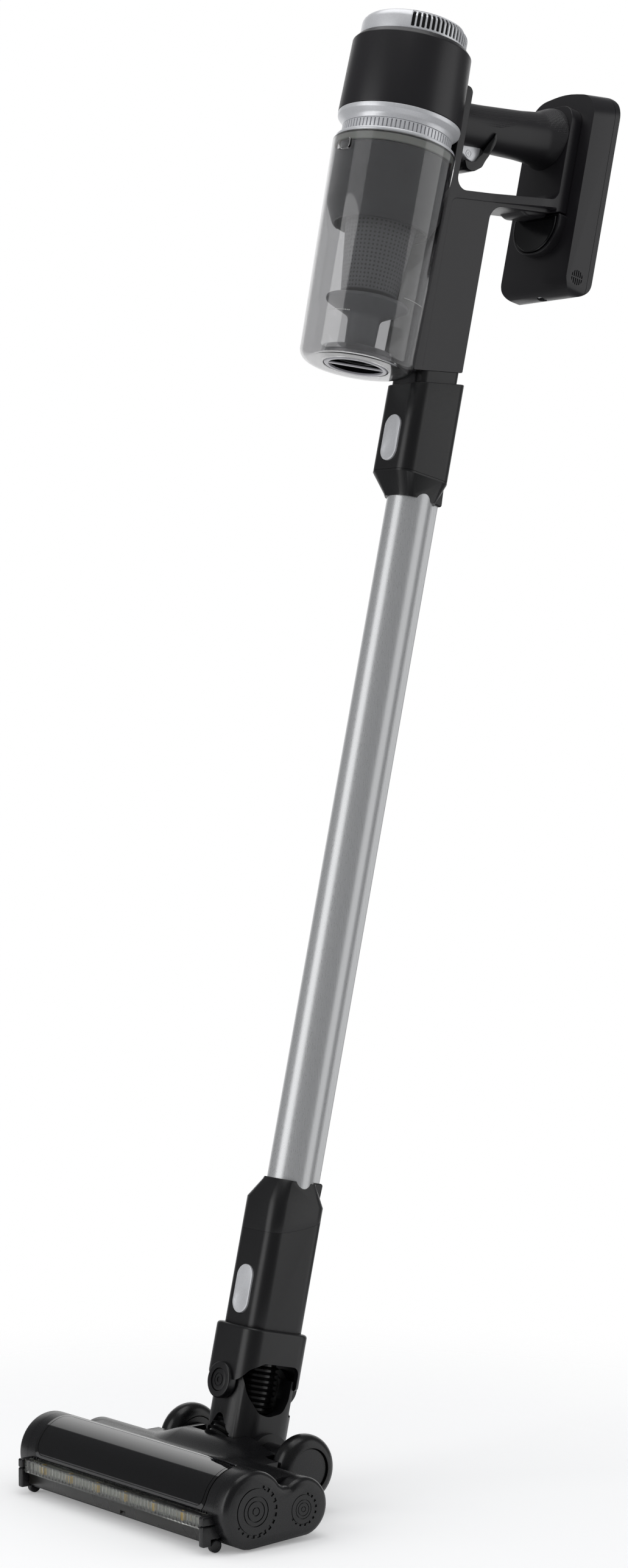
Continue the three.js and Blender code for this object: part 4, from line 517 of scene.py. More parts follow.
def make_finishes(colours):
    """Every finish of the vacuum."""
    # ABS from a spark-eroded mould: deep neutral black whose highlights are broad and soft.
    moulded("ABS spark eroded black", colours.black, 0.36, 0.9, 0.01, IOR=1.54)
    # The handle's ABS has the same grain over a slightly warmer black.
    moulded("ABS spark eroded warm black", colours.handle, 0.34, 0.9, 0.01, IOR=1.54)
    # Polished ABS: the deepest black, with sharp reflections that ripple only slightly.
    moulded("ABS polished black", colours.gloss, 0.14, 22, 0.01, 0.03, IOR=1.54)
    # Satin ABS of the cleaning head, a little shinier than the handle.
    moulded("ABS satin black", colours.head, 0.3, 1.1, 0.008, IOR=1.54)
    # Glass-filled nylon of inner pieces: a dull mid grey, darker in the cup's shade.
    moulded("nylon glass filled dark grey", colours.inner, 0.5, 1.2, 0.02, 0.08, IOR=1.53)
    # The shroud in the upper half of the cup: the same nylon in charcoal, a darker copy that paints the shade
    # at the top of the cup.
    moulded("nylon glass filled charcoal", linear("38393d"), 0.4, 1.2, 0.01, 0.05, IOR=1.53)
    # Natural rubber hose: black with a waxy sheen on the crests of its ribs.
    moulded("rubber moulded black", colours.rubber, 0.2, 1.5, 0.01, 0.06, IOR=1.52)
    # Polyurethane tyre: smooth, half-matt, with a faint skin.
    moulded("polyurethane tyre black", colours.tyre, 0.28, 2.5, 0.003, 0.06, IOR=1.5)
    # Silicone seal: pale, soft and slightly translucent.
    moulded("silicone pale grey", colours.seal, 0.5, 2, 0.02, 0.03, IOR=1.41, **{"Subsurface Weight": 0.1})
    # Heat-shrink film round the cells: blue, glossy and slightly wrinkled.
    moulded("PVC shrink film blue", linear("3d6fa8"), 0.3, 3, 0.08, 0.05, IOR=1.53)
    # Zinc-plated steel: bright, with a fine crystalline plating.
    moulded("steel zinc plated", linear("a9aaad"), 0.3, 1.5, 0.006, 0.06, Metallic=1.0)
    # Ground and lacquered motor case: darker and smoother than bare steel.
    moulded("steel motor case", linear("77787b"), 0.38, 2, 0.004, 0.06, Metallic=1.0)
    # Needled felt loaded with carbon: near black, dull, with a nap of short fibres.
    moulded("polyester felt charcoal", linear("1a1a1b"), 0.95, 1.6, 0.35, 0.1)
    # Printed circuit laminate: green solder mask over woven glass.
    tree, shader, place = blank("circuit laminate green", {"Coat Weight": 0.4, "IOR": 1.55})
    weave = node(tree, "ShaderNodeTexBrick", {"Vector": place, "Scale": 120.0, "Color1": linear("1f5a3a"),
                                              "Color2": linear("1a4d32"), "Mortar": linear("2c7a4f")})
    tree.links.new(weave.outputs["Color"], shader.inputs["Base Color"])
    grain(tree, shader, place, 1.5, 0.02, 0.4)
    # The lamp board's white solder mask.
    moulded("circuit laminate white", linear("8d8e88"), 0.5, 1.5, 0.02, 0.05)
    # Yellow phosphor under a clear dome.
    moulded("phosphor yellow", linear("c9a53a"), 0.3, 0.8, 0.02, 0.08, **{"Coat Weight": 0.6})
    satin_paint("paint satin silver", colours.silver)
    anodised("aluminium satin anodised", colours.aluminium)
    see_through("polycarbonate smoked", colours.smoke, 0.03)
    see_through("polycarbonate dark smoked", colours.window, 0.02, 0.2)
    see_through("polycarbonate frosted strip", colours.strip, 0.22)
    see_through("polycarbonate clear lens", colours.lens, 0.12)
    dotted_grip("ABS dotted grip", colours.handle)
    perforated("nylon perforated filter", colours.inner)
    bristle("nylon brush fibre", colours.fibre)
    # Polished pale ABS of the knob: light grey, and it mirrors the floor.
    moulded("ABS polished pale grey", linear("9c9ba0"), 0.16, 22, 0.01, 0.03, IOR=1.54)
    # Printed marks: a thin pale ink, slightly broken where the pad lifted.
    moulded("pad printed pale ink", linear("b9bab8"), 0.5, 0.8, 0.01, 0.12)


def satin_paint(name, colour):
    """Aluminium-flake paint under satin lacquer: it sparkles faintly and lightens at its edges."""
    tree, shader, place = blank(name, {"Metallic": 0.45, "Coat Weight": 0.25, "Coat Roughness": 0.3})
    flake = node(tree, "ShaderNodeTexVoronoi", {"Vector": place, "Scale": 1 / (0.9 * MM)})
    value = node(tree, "ShaderNodeMapRange", {"Value": flake.outputs["Color"], "To Min": 0.95,
                                              "To Max": 1.04})
    tint = node(tree, "ShaderNodeHueSaturation", {"Color": colour, "Value": value.outputs["Result"]})
    tree.links.new(tint.outputs["Color"], shader.inputs["Base Color"])
    grain(tree, shader, place, 1.2, 0.004, 0.33)


def anodised(name, colour):
    """Drawn aluminium tube, etched and anodised: faint lines run along its length."""
    tree, shader, place = blank(name, {"Metallic": 0.6})
    along = node(tree, "ShaderNodeMapping", {"Vector": place, "Rotation": (math.radians(TILT), 0, 0),
                                             "Scale": (1400.0, 1400.0, 12.0)})
    lines = node(tree, "ShaderNodeTexNoise", {"Vector": along.outputs["Vector"], "Scale": 1.0, "Detail": 3.0})
    value = spread(tree, lines.outputs["Fac"], 0.96, 1.03)
    tint = node(tree, "ShaderNodeHueSaturation", {"Color": colour, "Value": value})
    tree.links.new(tint.outputs["Color"], shader.inputs["Base Color"])
    tree.links.new(spread(tree, lines.outputs["Fac"], 0.26, 0.34), shader.inputs["Roughness"])
    bump = node(tree, "ShaderNodeBump", {"Height": lines.outputs["Fac"], "Distance": 0.003 * MM})
    tree.links.new(bump.outputs["Normal"], shader.inputs["Normal"])


def see_through(name, colour, rough, coat=0.0):
    """Polycarbonate tinted through its wall: it darkens what is behind it and reflects sharply."""
    tree, shader, place = blank(name, {"Transmission Weight": 1.0, "IOR": 1.585, "Base Color": colour,
                                       "Coat Weight": coat, "Coat Roughness": 0.02})
    haze = node(tree, "ShaderNodeTexNoise", {"Vector": place, "Scale": 1 / (30 * MM), "Detail": 2.0})
    tree.links.new(spread(tree, haze.outputs["Fac"], rough, rough * 1.6), shader.inputs["Roughness"])


def dotted_grip(name, colour):
    """Grip skin: rows of small raised dots over its upper side, ending in a long wave on each flank."""
    tree, shader, place = blank(name, {"IOR": 1.54})
    mottle(tree, shader, place, colour, 0.05, 45)
    level = node(tree, "ShaderNodeMapping", {"Vector": place,
                                             "Rotation": (math.radians(TILT - GRIP_ANGLE), 0, 0)})
    part = node(tree, "ShaderNodeSeparateXYZ", {"Vector": level.outputs["Vector"]})
    wave = node(tree, "ShaderNodeMath", {0: part.outputs["Y"], 1: 2 * math.pi / 0.09}, operation="MULTIPLY")
    swing = node(tree, "ShaderNodeMath", {0: wave.outputs[0]}, operation="SINE")
    edge = node(tree, "ShaderNodeMath", {0: swing.outputs[0], 1: 0.005, 2: 0.003}, operation="MULTIPLY_ADD")
    above = node(tree, "ShaderNodeMath", {0: part.outputs["Z"], 1: edge.outputs[0]}, operation="GREATER_THAN")
    cells = node(tree, "ShaderNodeTexVoronoi", {"Vector": place, "Scale": 1 / (1.6 * MM), "Randomness": 0.0})
    dot = node(tree, "ShaderNodeMapRange", {"Value": cells.outputs["Distance"], "From Min": 0.25,
                                            "From Max": 0.45, "To Min": 1.0, "To Max": 0.0})
    raised = node(tree, "ShaderNodeMath", {0: dot.outputs["Result"], 1: above.outputs[0]},
                  operation="MULTIPLY")
    bump = node(tree, "ShaderNodeBump", {"Height": raised.outputs[0], "Distance": 0.25 * MM})
    tree.links.new(bump.outputs["Normal"], shader.inputs["Normal"])
    rough = node(tree, "ShaderNodeMapRange", {"Value": raised.outputs[0], "To Min": 0.42, "To Max": 0.5})
    tree.links.new(rough.outputs["Result"], shader.inputs["Roughness"])


def perforated(name, colour):
    """Filter cone: a grid of small holes moulded through dark nylon, each a spot of painted shade over a dip
    of bump.
    """
    tree, shader, place = blank(name, {"IOR": 1.53})
    centre = AXLE + BACK * (CUP_Y - WAND_AHEAD) * MM
    about_cup = node(tree, "ShaderNodeMapping", {"Vector": place, "Location": -centre}, vector_type="POINT")
    upright = node(tree, "ShaderNodeMapping", {"Vector": about_cup.outputs["Vector"],
                                               "Rotation": (math.radians(TILT), 0, 0)})
    part = node(tree, "ShaderNodeSeparateXYZ", {"Vector": upright.outputs["Vector"]})
    columns, pitch = 48, 3.3 * MM
    angle = node(tree, "ShaderNodeMath", {0: part.outputs["Y"], 1: part.outputs["X"]}, operation="ARCTAN2")
    across = node(tree, "ShaderNodeMath", {0: angle.outputs[0], 1: columns / (2 * math.pi)},
                  operation="MULTIPLY")
    upwards = node(tree, "ShaderNodeMath", {0: part.outputs["Z"], 1: 1 / pitch}, operation="MULTIPLY")
    grid = node(tree, "ShaderNodeCombineXYZ", {"X": across.outputs[0], "Y": upwards.outputs[0]})
    cells = node(tree, "ShaderNodeTexVoronoi", {"Vector": grid.outputs["Vector"], "Scale": 1.0,
                                                "Randomness": 0.0}, voronoi_dimensions="2D")
    # The holes' mask darkens the colour to paint the shade inside each hole, and sinks the bump there.
    hole = node(tree, "ShaderNodeMapRange", {"Value": cells.outputs["Distance"], "From Min": 0.2,
                                             "From Max": 0.3, "To Min": 0.4, "To Max": 1.0})
    tint = node(tree, "ShaderNodeHueSaturation", {"Color": colour, "Value": hole.outputs["Result"]})
    tree.links.new(tint.outputs["Color"], shader.inputs["Base Color"])
    bump = node(tree, "ShaderNodeBump", {"Height": hole.outputs["Result"], "Distance": 0.5 * MM})
    tree.links.new(bump.outputs["Normal"], shader.inputs["Normal"])
    shader.inputs["Roughness"].default_value = 0.5


def bristle(name, colour):
    """Rows of nylon pile: fine light and dark ends of fibre, dull, with a soft sheen."""
    tree, shader, place = blank(name, {"Sheen Weight": 0.5, "Roughness": 0.85})
    pile = node(tree, "ShaderNodeTexNoise", {"Vector": place, "Scale": 1 / (0.8 * MM), "Detail": 3.0})
    value = spread(tree, pile.outputs["Fac"], 0.6, 1.3)
    tint = node(tree, "ShaderNodeHueSaturation", {"Color": colour, "Value": value})
    tree.links.new(tint.outputs["Color"], shader.inputs["Base Color"])
    bump = node(tree, "ShaderNodeBump", {"Height": pile.outputs["Fac"], "Distance": 0.4 * MM})
    tree.links.new(bump.outputs["Normal"], shader.inputs["Normal"])


# ---- sizes and colours in the sidebar ----------------------------------------------------------
def length(label, text, value):
    """A length property, given in millimetres."""
    return FloatProperty(name=label, description=text, default=value * MM, min=0.0, unit="LENGTH",
                         precision=4)


def paint(label, text, code):
    """A colour property, given as an sRGB hex value."""
    return FloatVectorProperty(name=label, description=text, default=linear(code), size=4, min=0.0, max=1.0,
                               subtype="COLOR")


class VacuumSizes(bpy.types.PropertyGroup):
    tube_radius: length("Tube radius", "Outer radius of the wand's aluminium tube", 18.6)
    rib_depth: length("Rib depth", "How far the wire channel reaches behind the tube's centre line", 23.5)
    collar_width: length("Collar width", "Width of the collars at both ends of the wand", 46)
    collar_depth: length("Collar depth", "Depth of those collars, front to back", 52)
    collar_corner: length("Collar corner", "Corner radius of those collars", 11)
    button_width: length("Button width", "Width of the two release buttons", 19)
    button_height: length("Button height", "Height of the two release buttons", 38)
    cap_radius: length("Exhaust cap radius", "Outer radius of the silver exhaust cap", 43.5)
    louvre_width: length("Louvre width", "Width of each slot in the exhaust cap", 2.7)
    louvre_pitch: FloatProperty(name="Louvre pitch", description="Angle from one slot of the cap to the next",
                                default=math.radians(5.6), subtype="ANGLE")
    louvre_count: IntProperty(name="Louvres", description="Number of slots in the cap", default=48, min=1)
    housing_radius: length("Motor housing radius", "Largest radius of the motor housing", 50)
    flute_radius: length("Fluted ring radius", "Outer radius of the ring between motor and cup", 44.6)
    flute_count: IntProperty(name="Flutes", description="Number of grooves in that ring", default=80, min=3)
    cup_top_radius: length("Cup top radius", "Outer radius of the dust cup at its top", 50.2)
    cup_low_radius: length("Cup base radius", "Outer radius of the dust cup at its base", 46.2)
    cup_wall: length("Cup wall", "Wall of the dust cup", 2.2)
    knob_radius: length("Knob radius", "Radius of the knob in the cup's base", 26)
    spine_width: length("Spine width", "Width of the spine behind the cup", 41)
    plate_width: length("Plate width", "Width of the plate that carries the battery", 54.6)
    grip_radius: length("Grip radius", "Radius of the hand grip in the middle", 18.6)
    battery_width: length("Battery width", "Width of the battery", 81)
    sleeve_width: length("Sleeve width", "Width of the neck's sleeve", 54)
    sleeve_depth: length("Sleeve depth", "Depth of the neck's sleeve", 62)
    hose_pitch: length("Hose pitch", "Distance from one rib of the neck's hose to the next", 4.4)
    head_half: length("Half width of head", "From the middle of the head to its end face", 137)
    brush_housing: length("Brush housing radius", "Outer radius over the brush roller", 29)
    rear_housing: length("Rear housing radius", "Outer radius over the brush motor", 22)
    wheel_radius: length("Wheel radius", "Radius of the two rear wheels", 26.6)
    hub_radius: length("Hub radius", "Radius of their flat hubs", 17)
    lamp_count: IntProperty(name="Lamps", description="Number of yellow lamps behind the lens",
                            default=6, min=1)
    lamp_pitch: length("Lamp pitch", "Distance from one lamp to the next", 37)


class VacuumColours(bpy.types.PropertyGroup):
    black: paint("Black plastic", "Spark-eroded plastic of housing, collars and neck", "0e0e10")
    handle: paint("Handle plastic", "Warmer black of housing, spine, grip and battery", "1a191c")
    gloss: paint("Polished plastic", "Polished black trim", "08080a")
    head: paint("Head plastic", "Satin black of the cleaning head", "0c0c0e")
    inner: paint("Inner plastic", "Mid grey of pieces inside the cup", "707174")
    rubber: paint("Hose rubber", "Rubber of the neck's hose", "0c0c0d")
    tyre: paint("Tyre", "Polyurethane of the tyres", "101011")
    seal: paint("Seal", "Silicone of the cup's seal", "b5b5ad")
    silver: paint("Silver paint", "Satin silver of cap, rings, trigger and buttons", "dcdde0")
    aluminium: paint("Aluminium", "Anodised tube of the wand", "c8c9ca")
    smoke: paint("Smoked plastic", "Tint of the dust cup's wall", "cacacb")
    window: paint("Window", "Tint of the window over the brush", "24242a")
    strip: paint("Front strip", "Tint of the strip below the lamps", "4a4742")
    lens: paint("Lamp lens", "Tint of the lamp's lens", "e2e4e0")
    fibre: paint("Brush fibre", "Pile of the brush roller", "2d3b4d")


def size(name):
    """One of the sidebar's sizes, in millimetres; a count or an angle comes as it is."""
    sizes = bpy.context.scene.vacuum_sizes
    value = getattr(sizes, name)
    return value / MM if sizes.bl_rna.properties[name].unit == "LENGTH" else value


def repeat(piece, total, pitch, centre, axis=(0, 0, 1)):
    """A row of a shape round an axis: that many in all, each turned by the pitch in degrees."""
    edit(piece)
    bpy.ops.mesh.select_all(action="SELECT")
    bpy.ops.mesh.spin(steps=total - 1, angle=-math.radians(pitch * (total - 1)), center=centre, axis=axis,
                      dupli=True)
    bpy.ops.object.mode_set(mode="OBJECT")
    return piece


def row(piece, name, total, step):
    """A shape copied in a straight line, as one piece."""
    copies = [copy(piece, f"{name}_{k}", Matrix.Translation(Vector(step) * k)) for k in range(1, total)]
    return join(name, piece, *copies)


# ---- handheld: motor ---------------------------------------------------------------------------
class VACUUM_OT_exhaust_cap(bpy.types.Operator):
    """Silver cap over the motor, with a louvred band round its sides and back"""
    bl_idname = "vacuum.exhaust_cap"
    bl_label = "Exhaust cap"

    def execute(self, context):
        radius = size("cap_radius")
        cap = turned("exhaust_cap", [(0, CAP_TOP - 2), (radius - 2, CAP_TOP - 2, 5), (radius - 2, CAP_LOW),
                                     (radius, CAP_LOW, 0.4), (radius, CAP_TOP, 7), (0, CAP_TOP)], 0, CUP_Y)
        pitch = math.degrees(size("louvre_pitch"))
        count = size("louvre_count")
        first = 90 - pitch * (count - 1) / 2
        step = band("louvre_band", [(radius - 0.7, CAP_LOW + 1.6), (radius + 3, CAP_LOW + 1.6),
                                    (radius + 3, CAP_TOP + 3), (radius - 4.5, CAP_TOP + 3),
                                    (radius - 4.5, CAP_TOP - 1.3), (radius - 0.7, CAP_TOP - 5.4, 3)],
                    first - 2.4, first + pitch * (count - 1) + 2.4, 0, CUP_Y, 96)
        half = size("louvre_width") / 2
        slot = box("louvre", (radius - 6, CUP_Y - half, CAP_LOW + 2.2),
                   (radius + 3, CUP_Y + half, CAP_TOP - 1.8))
        soften(slot, 0.8, 2)
        slots = repeat(move(slot, about(first, 0, CUP_Y)), count, pitch, (0, CUP_Y, 0))
        carve(cap, step, slots)
        keep(cap, STICK, "vacuum", "satin_silver", "paint satin silver", "exhaust_cap")
        return {"FINISHED"}


class VACUUM_OT_motor_housing(bpy.types.Operator):
    """Black housing round the motor, and the silver rings between it and the dust cup"""
    bl_idname = "vacuum.motor_housing"
    bl_label = "Motor housing and rings"

    def execute(self, context):
        wide = size("housing_radius")
        middle = HOUSING_TOP - 27
        housing = turned("motor_housing", [
            (wide - 2.4, HOUSING_LOW + 0.3), (wide, HOUSING_LOW + 0.3, 0.6), (wide - 1.5, HOUSING_TOP, 1.5),
            (wide - 5.2, CAP_LOW, 0.8), (wide - 9.5, CAP_LOW), (wide - 9.5, CAP_LOW - 3),
            (wide - 4, HOUSING_TOP - 1), (wide - 4, middle + 2), (26.3, middle + 2), (26.3, middle - 2),
            (wide - 4, middle - 2)], 0, CUP_Y, 128)
        vent = rod("vent", "Z", 6, middle - 5, middle + 5, 36.5, CUP_Y, 32)
        carve(housing, repeat(vent, 6, 60, (0, CUP_Y, 0)))
        keep(housing, STICK, "vacuum", "matt_black", "ABS spark eroded warm black", "motor_housing")
        flute = size("flute_radius")
        inside = 36
        flare = turned("flare_ring", [
            (inside, FLARE_LOW), (flute, FLARE_LOW, 0.4), (flute + 0.5, FLARE_LOW + 3, 4),
            (wide - 0.4, FLARE_LOW + 7.2, 1.6), (wide, HOUSING_LOW, 0.5), (inside, HOUSING_LOW)],
            0, CUP_Y, 128)
        keep(flare, STICK, "vacuum", "satin_silver", "paint satin silver", "flare_ring")
        ring = turned("fluted_ring", [
            (inside, FLUTE_LOW), (flute, FLUTE_LOW, 0.6), (flute, FLARE_LOW - 0.3, 0.6),
            (inside, FLARE_LOW - 0.3)], 0, CUP_Y, 152)
        groove = box("flute", (flute - 2, CUP_Y - 0.55, FLUTE_LOW + 0.8),
                     (flute + 1, CUP_Y + 0.55, FLARE_LOW - 1))
        count = size("flute_count")
        carve(ring, repeat(groove, count, 360 / count, (0, CUP_Y, 0)))
        keep(ring, STICK, "vacuum", "satin_silver", "paint satin silver", "fluted_ring", smooth=25)
        lip_radius = size("cup_top_radius") - 1.6
        lip = turned("lip_ring", [
            (inside, CUP_TOP + 0.3), (lip_radius, CUP_TOP + 0.3, 1.2), (lip_radius, FLUTE_LOW - 0.3, 1.5),
            (inside, FLUTE_LOW - 0.3)], 0, CUP_Y, 128)
        keep(lip, STICK, "vacuum", "satin_silver", "paint satin silver", "lip_ring")
        return {"FINISHED"}


# ---- handheld: cyclone -------------------------------------------------------------------------
def port(front, back):
    """The way from the spine's duct into the cup."""
    return prism("port", rounded(-11, 11, PORT_LOW, PORT_TOP, 4), "Y", front, back)


class VACUUM_OT_dust_cup(bpy.types.Operator):
    """Smoked dust cup with its rounded base, its clip and its dotted fill marks"""
    bl_idname = "vacuum.dust_cup"
    bl_label = "Dust cup"

    def execute(self, context):
        top, low, wall = size("cup_top_radius"), size("cup_low_radius"), size("cup_wall")
        hole = size("knob_radius") + 0.6
        cup = turned("dust_cup", [
            (hole, CUP_BASE), (low, CUP_BASE, 8), (top, CUP_TOP, 0.8), (top - wall, CUP_TOP),
            (low - wall, CUP_BASE + wall, 6), (hole + wall, CUP_BASE + wall),
            (hole + wall, CUP_BASE + KNOB_DEPTH), (hole, CUP_BASE + KNOB_DEPTH)], 0, CUP_Y, 144, 9)
        clip = prism("clip", rounded(-8, 8, 1021.5, 1030.5, 3), "Y", CUP_Y - top - 1.1, CUP_Y - top + 1.9)
        fuse(cup, soften(clip, 0.6, 3))
        carve(cup, port(CUP_Y + 20, 0))
        keep(cup, STICK, "dust_bin", "smoke_clear", "polycarbonate smoked", "dust_cup")
        for name, angle, height, count in (("fill_mark_front", -76, 890, 13), ("fill_mark_side", 0, 909, 15)):
            radius = low + (top - low) * (height - CUP_BASE) / (CUP_TOP - CUP_BASE)
            dot = rod(name, "X", 0.45, radius - 0.25, radius + 0.12, CUP_Y, height, 10)
            soften(dot, 0.1, 1)
            mark = repeat(move(dot, about(angle, 0, CUP_Y)), count, 1.9, (0, CUP_Y, 0))
            keep(mark, STICK, "dust_bin", "seal_rubber", "pad printed pale ink")
        return {"FINISHED"}


class VACUUM_OT_cyclone(bpy.types.Operator):
    """Seal, shroud, filter cone and skirt inside the dust cup"""
    bl_idname = "vacuum.cyclone"
    bl_label = "Cyclone"

    def execute(self, context):
        top, wall = size("cup_top_radius"), size("cup_wall")
        outer = top - wall - 0.5
        inner = outer - 2.2
        seal = turned("cup_seal", [(inner, CUP_TOP - 7), (outer, CUP_TOP - 7, 0.8), (outer, CUP_TOP - 1, 0.8),
                                   (inner, CUP_TOP - 1)], 0, CUP_Y, 128)
        keep(seal, STICK, "dust_bin", "seal_rubber", "silicone pale grey", "cup_seal")
        shroud = turned("cyclone_shroud", [
            (46, SHROUD_TOP), (46, 984, 12), (39, 969, 2), (37.4, 969), (44.2, 984, 12),
            (44.2, SHROUD_TOP - 2), (26, SHROUD_TOP - 2), (26, SHROUD_TOP)], 0, CUP_Y, 128)
        carve(shroud, port(CUP_Y + 20, 0))
        # The shroud's charcoal copy of the nylon is painted shade for the dim top of the cup.
        keep(shroud, STICK, "dust_bin", "dark_plastic", "nylon glass filled charcoal", "cyclone_shroud")
        high = SHROUD_TOP - 2.6
        filter_cone = turned("filter_cone", [
            (0, CONE_LOW), (20.5, CONE_LOW), (26, 969), (26.5, high), (28.5, high, 0.4),
            (28, 969), (22.5, CONE_LOW - 2, 1), (0, CONE_LOW - 2)], 0, CUP_Y)
        keep(filter_cone, STICK, "dust_bin", "dark_plastic", "nylon perforated filter", "filter_cone")
        high = CONE_LOW - 2.3
        skirt = turned("skirt_tube", [
            (0, 903), (11, 896), (10, SKIRT_LOW), (12, SKIRT_LOW), (13, 896, 6), (18, 899, 8),
            (33, 907, 0.8), (33, 909.6, 0.8), (10, high), (0, high)], 0, CUP_Y)
        keep(skirt, STICK, "dust_bin", "dark_plastic", "nylon glass filled dark grey", "skirt_tube")
        return {"FINISHED"}


class VACUUM_OT_cup_knob(bpy.types.Operator):
    """Knob that locks the cup's base: a pale ring, a dark well and a bar across it"""
    bl_idname = "vacuum.cup_knob"
    bl_label = "Cup knob"

    def execute(self, context):
        radius = size("knob_radius")
        well = radius - 4
        back = CUP_BASE + KNOB_DEPTH
        ring = turned("cup_knob", [
            (well, CUP_BASE - 0.3, 0.5), (radius, CUP_BASE - 0.3, 1.2), (radius, back), (0, back),
            (0, back - 2), (well, back - 2)], 0, CUP_Y)
        bar = box("bar", (-well - 1, CUP_Y - 2, CUP_BASE + 0.2), (well + 1, CUP_Y + 2, CUP_BASE + 1.4))
        fuse(ring, soften(bar, 0.4, 2))
        move(ring, about(BAR_ANGLE, 0, CUP_Y))
        keep(ring, STICK, "cup_knob", "dark_plastic", "ABS polished pale grey", "cup_knob")
        outer = well - 0.05
        floor = turned("knob_well", [
            (0, CUP_BASE + 8.4), (well - 0.3, CUP_BASE + 8.4, 1), (well - 0.3, CUP_BASE + 1.2),
            (outer, CUP_BASE + 1.2), (outer, back - 2.1), (0, back - 2.1)], 0, CUP_Y)
        keep(floor, STICK, "cup_knob", "gloss_black", "ABS polished black")
        return {"FINISHED"}


# ---- handheld: spine and handle ----------------------------------------------------------------
def rise(z, y):
    """Height at y of a handle line that passes the tube's centre line at z."""
    return z + y * RISE


def past_line(name, z, end):
    """The space from a handle line up or down to a level."""
    return prism(name, [(-REACH, rise(z, -REACH)), (REACH, rise(z, REACH)), (REACH, end), (-REACH, end)],
                 "X", -REACH, REACH)


def cup_room(name):
    """The space that cup and motor take out of the spine."""
    wide = size("housing_radius") + 0.5
    return turned(name, [(0, 820), (47.1, 820), (47.1, 866), (50.7, CUP_TOP), (wide, HOUSING_LOW),
                         (wide - 1.5, HOUSING_TOP + 4), (wide - 1.5, 1150), (0, 1150)], 0, CUP_Y, 144)


class VACUUM_OT_handle_frame(bpy.types.Operator):
    """Spine behind the cup, bridge below the hand and plate that carries the battery, in one piece"""
    bl_idname = "vacuum.handle_frame"
    bl_label = "Handle frame"

    def execute(self, context):
        narrow, wide = size("spine_width") / 2, size("plate_width") / 2
        front, back = CUP_Y + 30, 15
        frame_body = prism("handle_frame", [
            (front, rise(SPINE_LOW, front)), (back, rise(SPINE_LOW, back), 1.5),
            (back, rise(BRIDGE_LOW, back), 15), (76, rise(BRIDGE_LOW - 0.8, 76), 10), (81, 1034, 2),
            (PLATE_BACK, 1034, 1.5), (PLATE_BACK, PLATE_TOP), (PLATE_FRONT, PLATE_TOP),
            (PLATE_FRONT, rise(BRIDGE_TOP, PLATE_FRONT), 9), (GRIP_FRONT, rise(BRIDGE_TOP, GRIP_FRONT), 9),
            (GRIP_FRONT, 1105, 5), (front, 1105)], "X", -wide, wide, 6)
        plan = prism("plan", [(-narrow, -60), (narrow, -60), (narrow, 14, 30), (wide, 62, 30), (wide, 100),
                              (-wide, 100), (-wide, 62, 30), (-narrow, 14, 30)], "Z", 840, 1160, 6)
        face = prism("face", [(-wide, 800), (wide, 800), (wide, PLATE_TOP, 14), (-wide, PLATE_TOP, 14)],
                     "Y", -60, 100, 6)
        common(frame_body, plan, face)
        near, far = -27, PLATE_FRONT + 0.2
        flank = prism("flank", [(near, 840), (near, rise(BAND_LOW, near), 7), (far, rise(BAND_LOW, far), 1),
                                (far, 985), (30, 985), (30, 840)], "X", narrow - 0.7, 40)
        carve(frame_body, copy(flank, "flank_twin", MIRROR), flank)
        soften(frame_body, 1.6, 4, 40)
        web = prism("web", [(44, rise(1020, 44)), (58, rise(1010.5, 58), 12), (79, rise(1011.5, 79), 3),
                            (79, rise(1020, 79))], "X", -15, 15)
        fuse(frame_body, soften(web, 4, 4, 40))
        carve(frame_body, cup_room("room"), rod("duct", "Z", 14, 840, 1000, 0, DUCT_Y),
              port(CUP_Y + 40, DUCT_Y))
        keep(frame_body, STICK, "vacuum", "matt_black", "ABS spark eroded warm black", "handle_frame")
        spigot = prism("inlet_spigot", rounded(-20, 20, -27, 15, 8), "Z", 820, 900)
        carve(spigot, past_line("above", SPIGOT_TOP, 1200), past_line("below", SPIGOT_LOW, 600),
              cup_room("room"))
        fuse(spigot, rod("pipe", "Z", 15.5, 828, 868, 0, DUCT_Y))
        carve(spigot, rod("bore", "Z", 13.5, 800, 920, 0, DUCT_Y))
        keep(spigot, STICK, "vacuum", "matt_black", "ABS spark eroded black", "inlet_spigot")
        return {"FINISHED"}


GRIP = Matrix.Translation((0, GRIP_Y, GRIP_Z)) @ Matrix.Rotation(math.radians(GRIP_ANGLE - 90), 4, "X")


def along(y):
    """Distance along the grip's own axis of a place y behind the tube's centre line."""
    return (y - GRIP_Y) / math.cos(math.radians(GRIP_ANGLE))


class VACUUM_OT_grip(bpy.types.Operator):
    """Round hand grip that flares into the battery's plate"""
    bl_idname = "vacuum.grip"
    bl_label = "Hand grip"

    def execute(self, context):
        radius = size("grip_radius")
        front, back = along(GRIP_FRONT), along(GRIP_BACK)
        grip = turned("hand_grip", [
            (radius - 4.5, front - 12), (radius, front - 12), (radius, along(0), 200),
            (radius + 1.6, along(44), 60), (radius + 3.2, along(63), 16), (radius + 8.2, back, 8),
            (radius + 8.2, back + 12), (radius - 4.5, back + 12)], 0, 0, 128, 6)
        move(grip, GRIP)
        common(grip, box("span", (-60, GRIP_FRONT + 0.3, 1000), (60, GRIP_BACK - 0.3, 1200)))
        carve(grip, prism("slot", rounded(-17.5, 10.5, 1030, 1072, 2), "X", -SLOT_HALF, SLOT_HALF))
        keep(grip, STICK, "vacuum", "matt_black", "ABS dotted grip", "hand_grip")
        return {"FINISHED"}


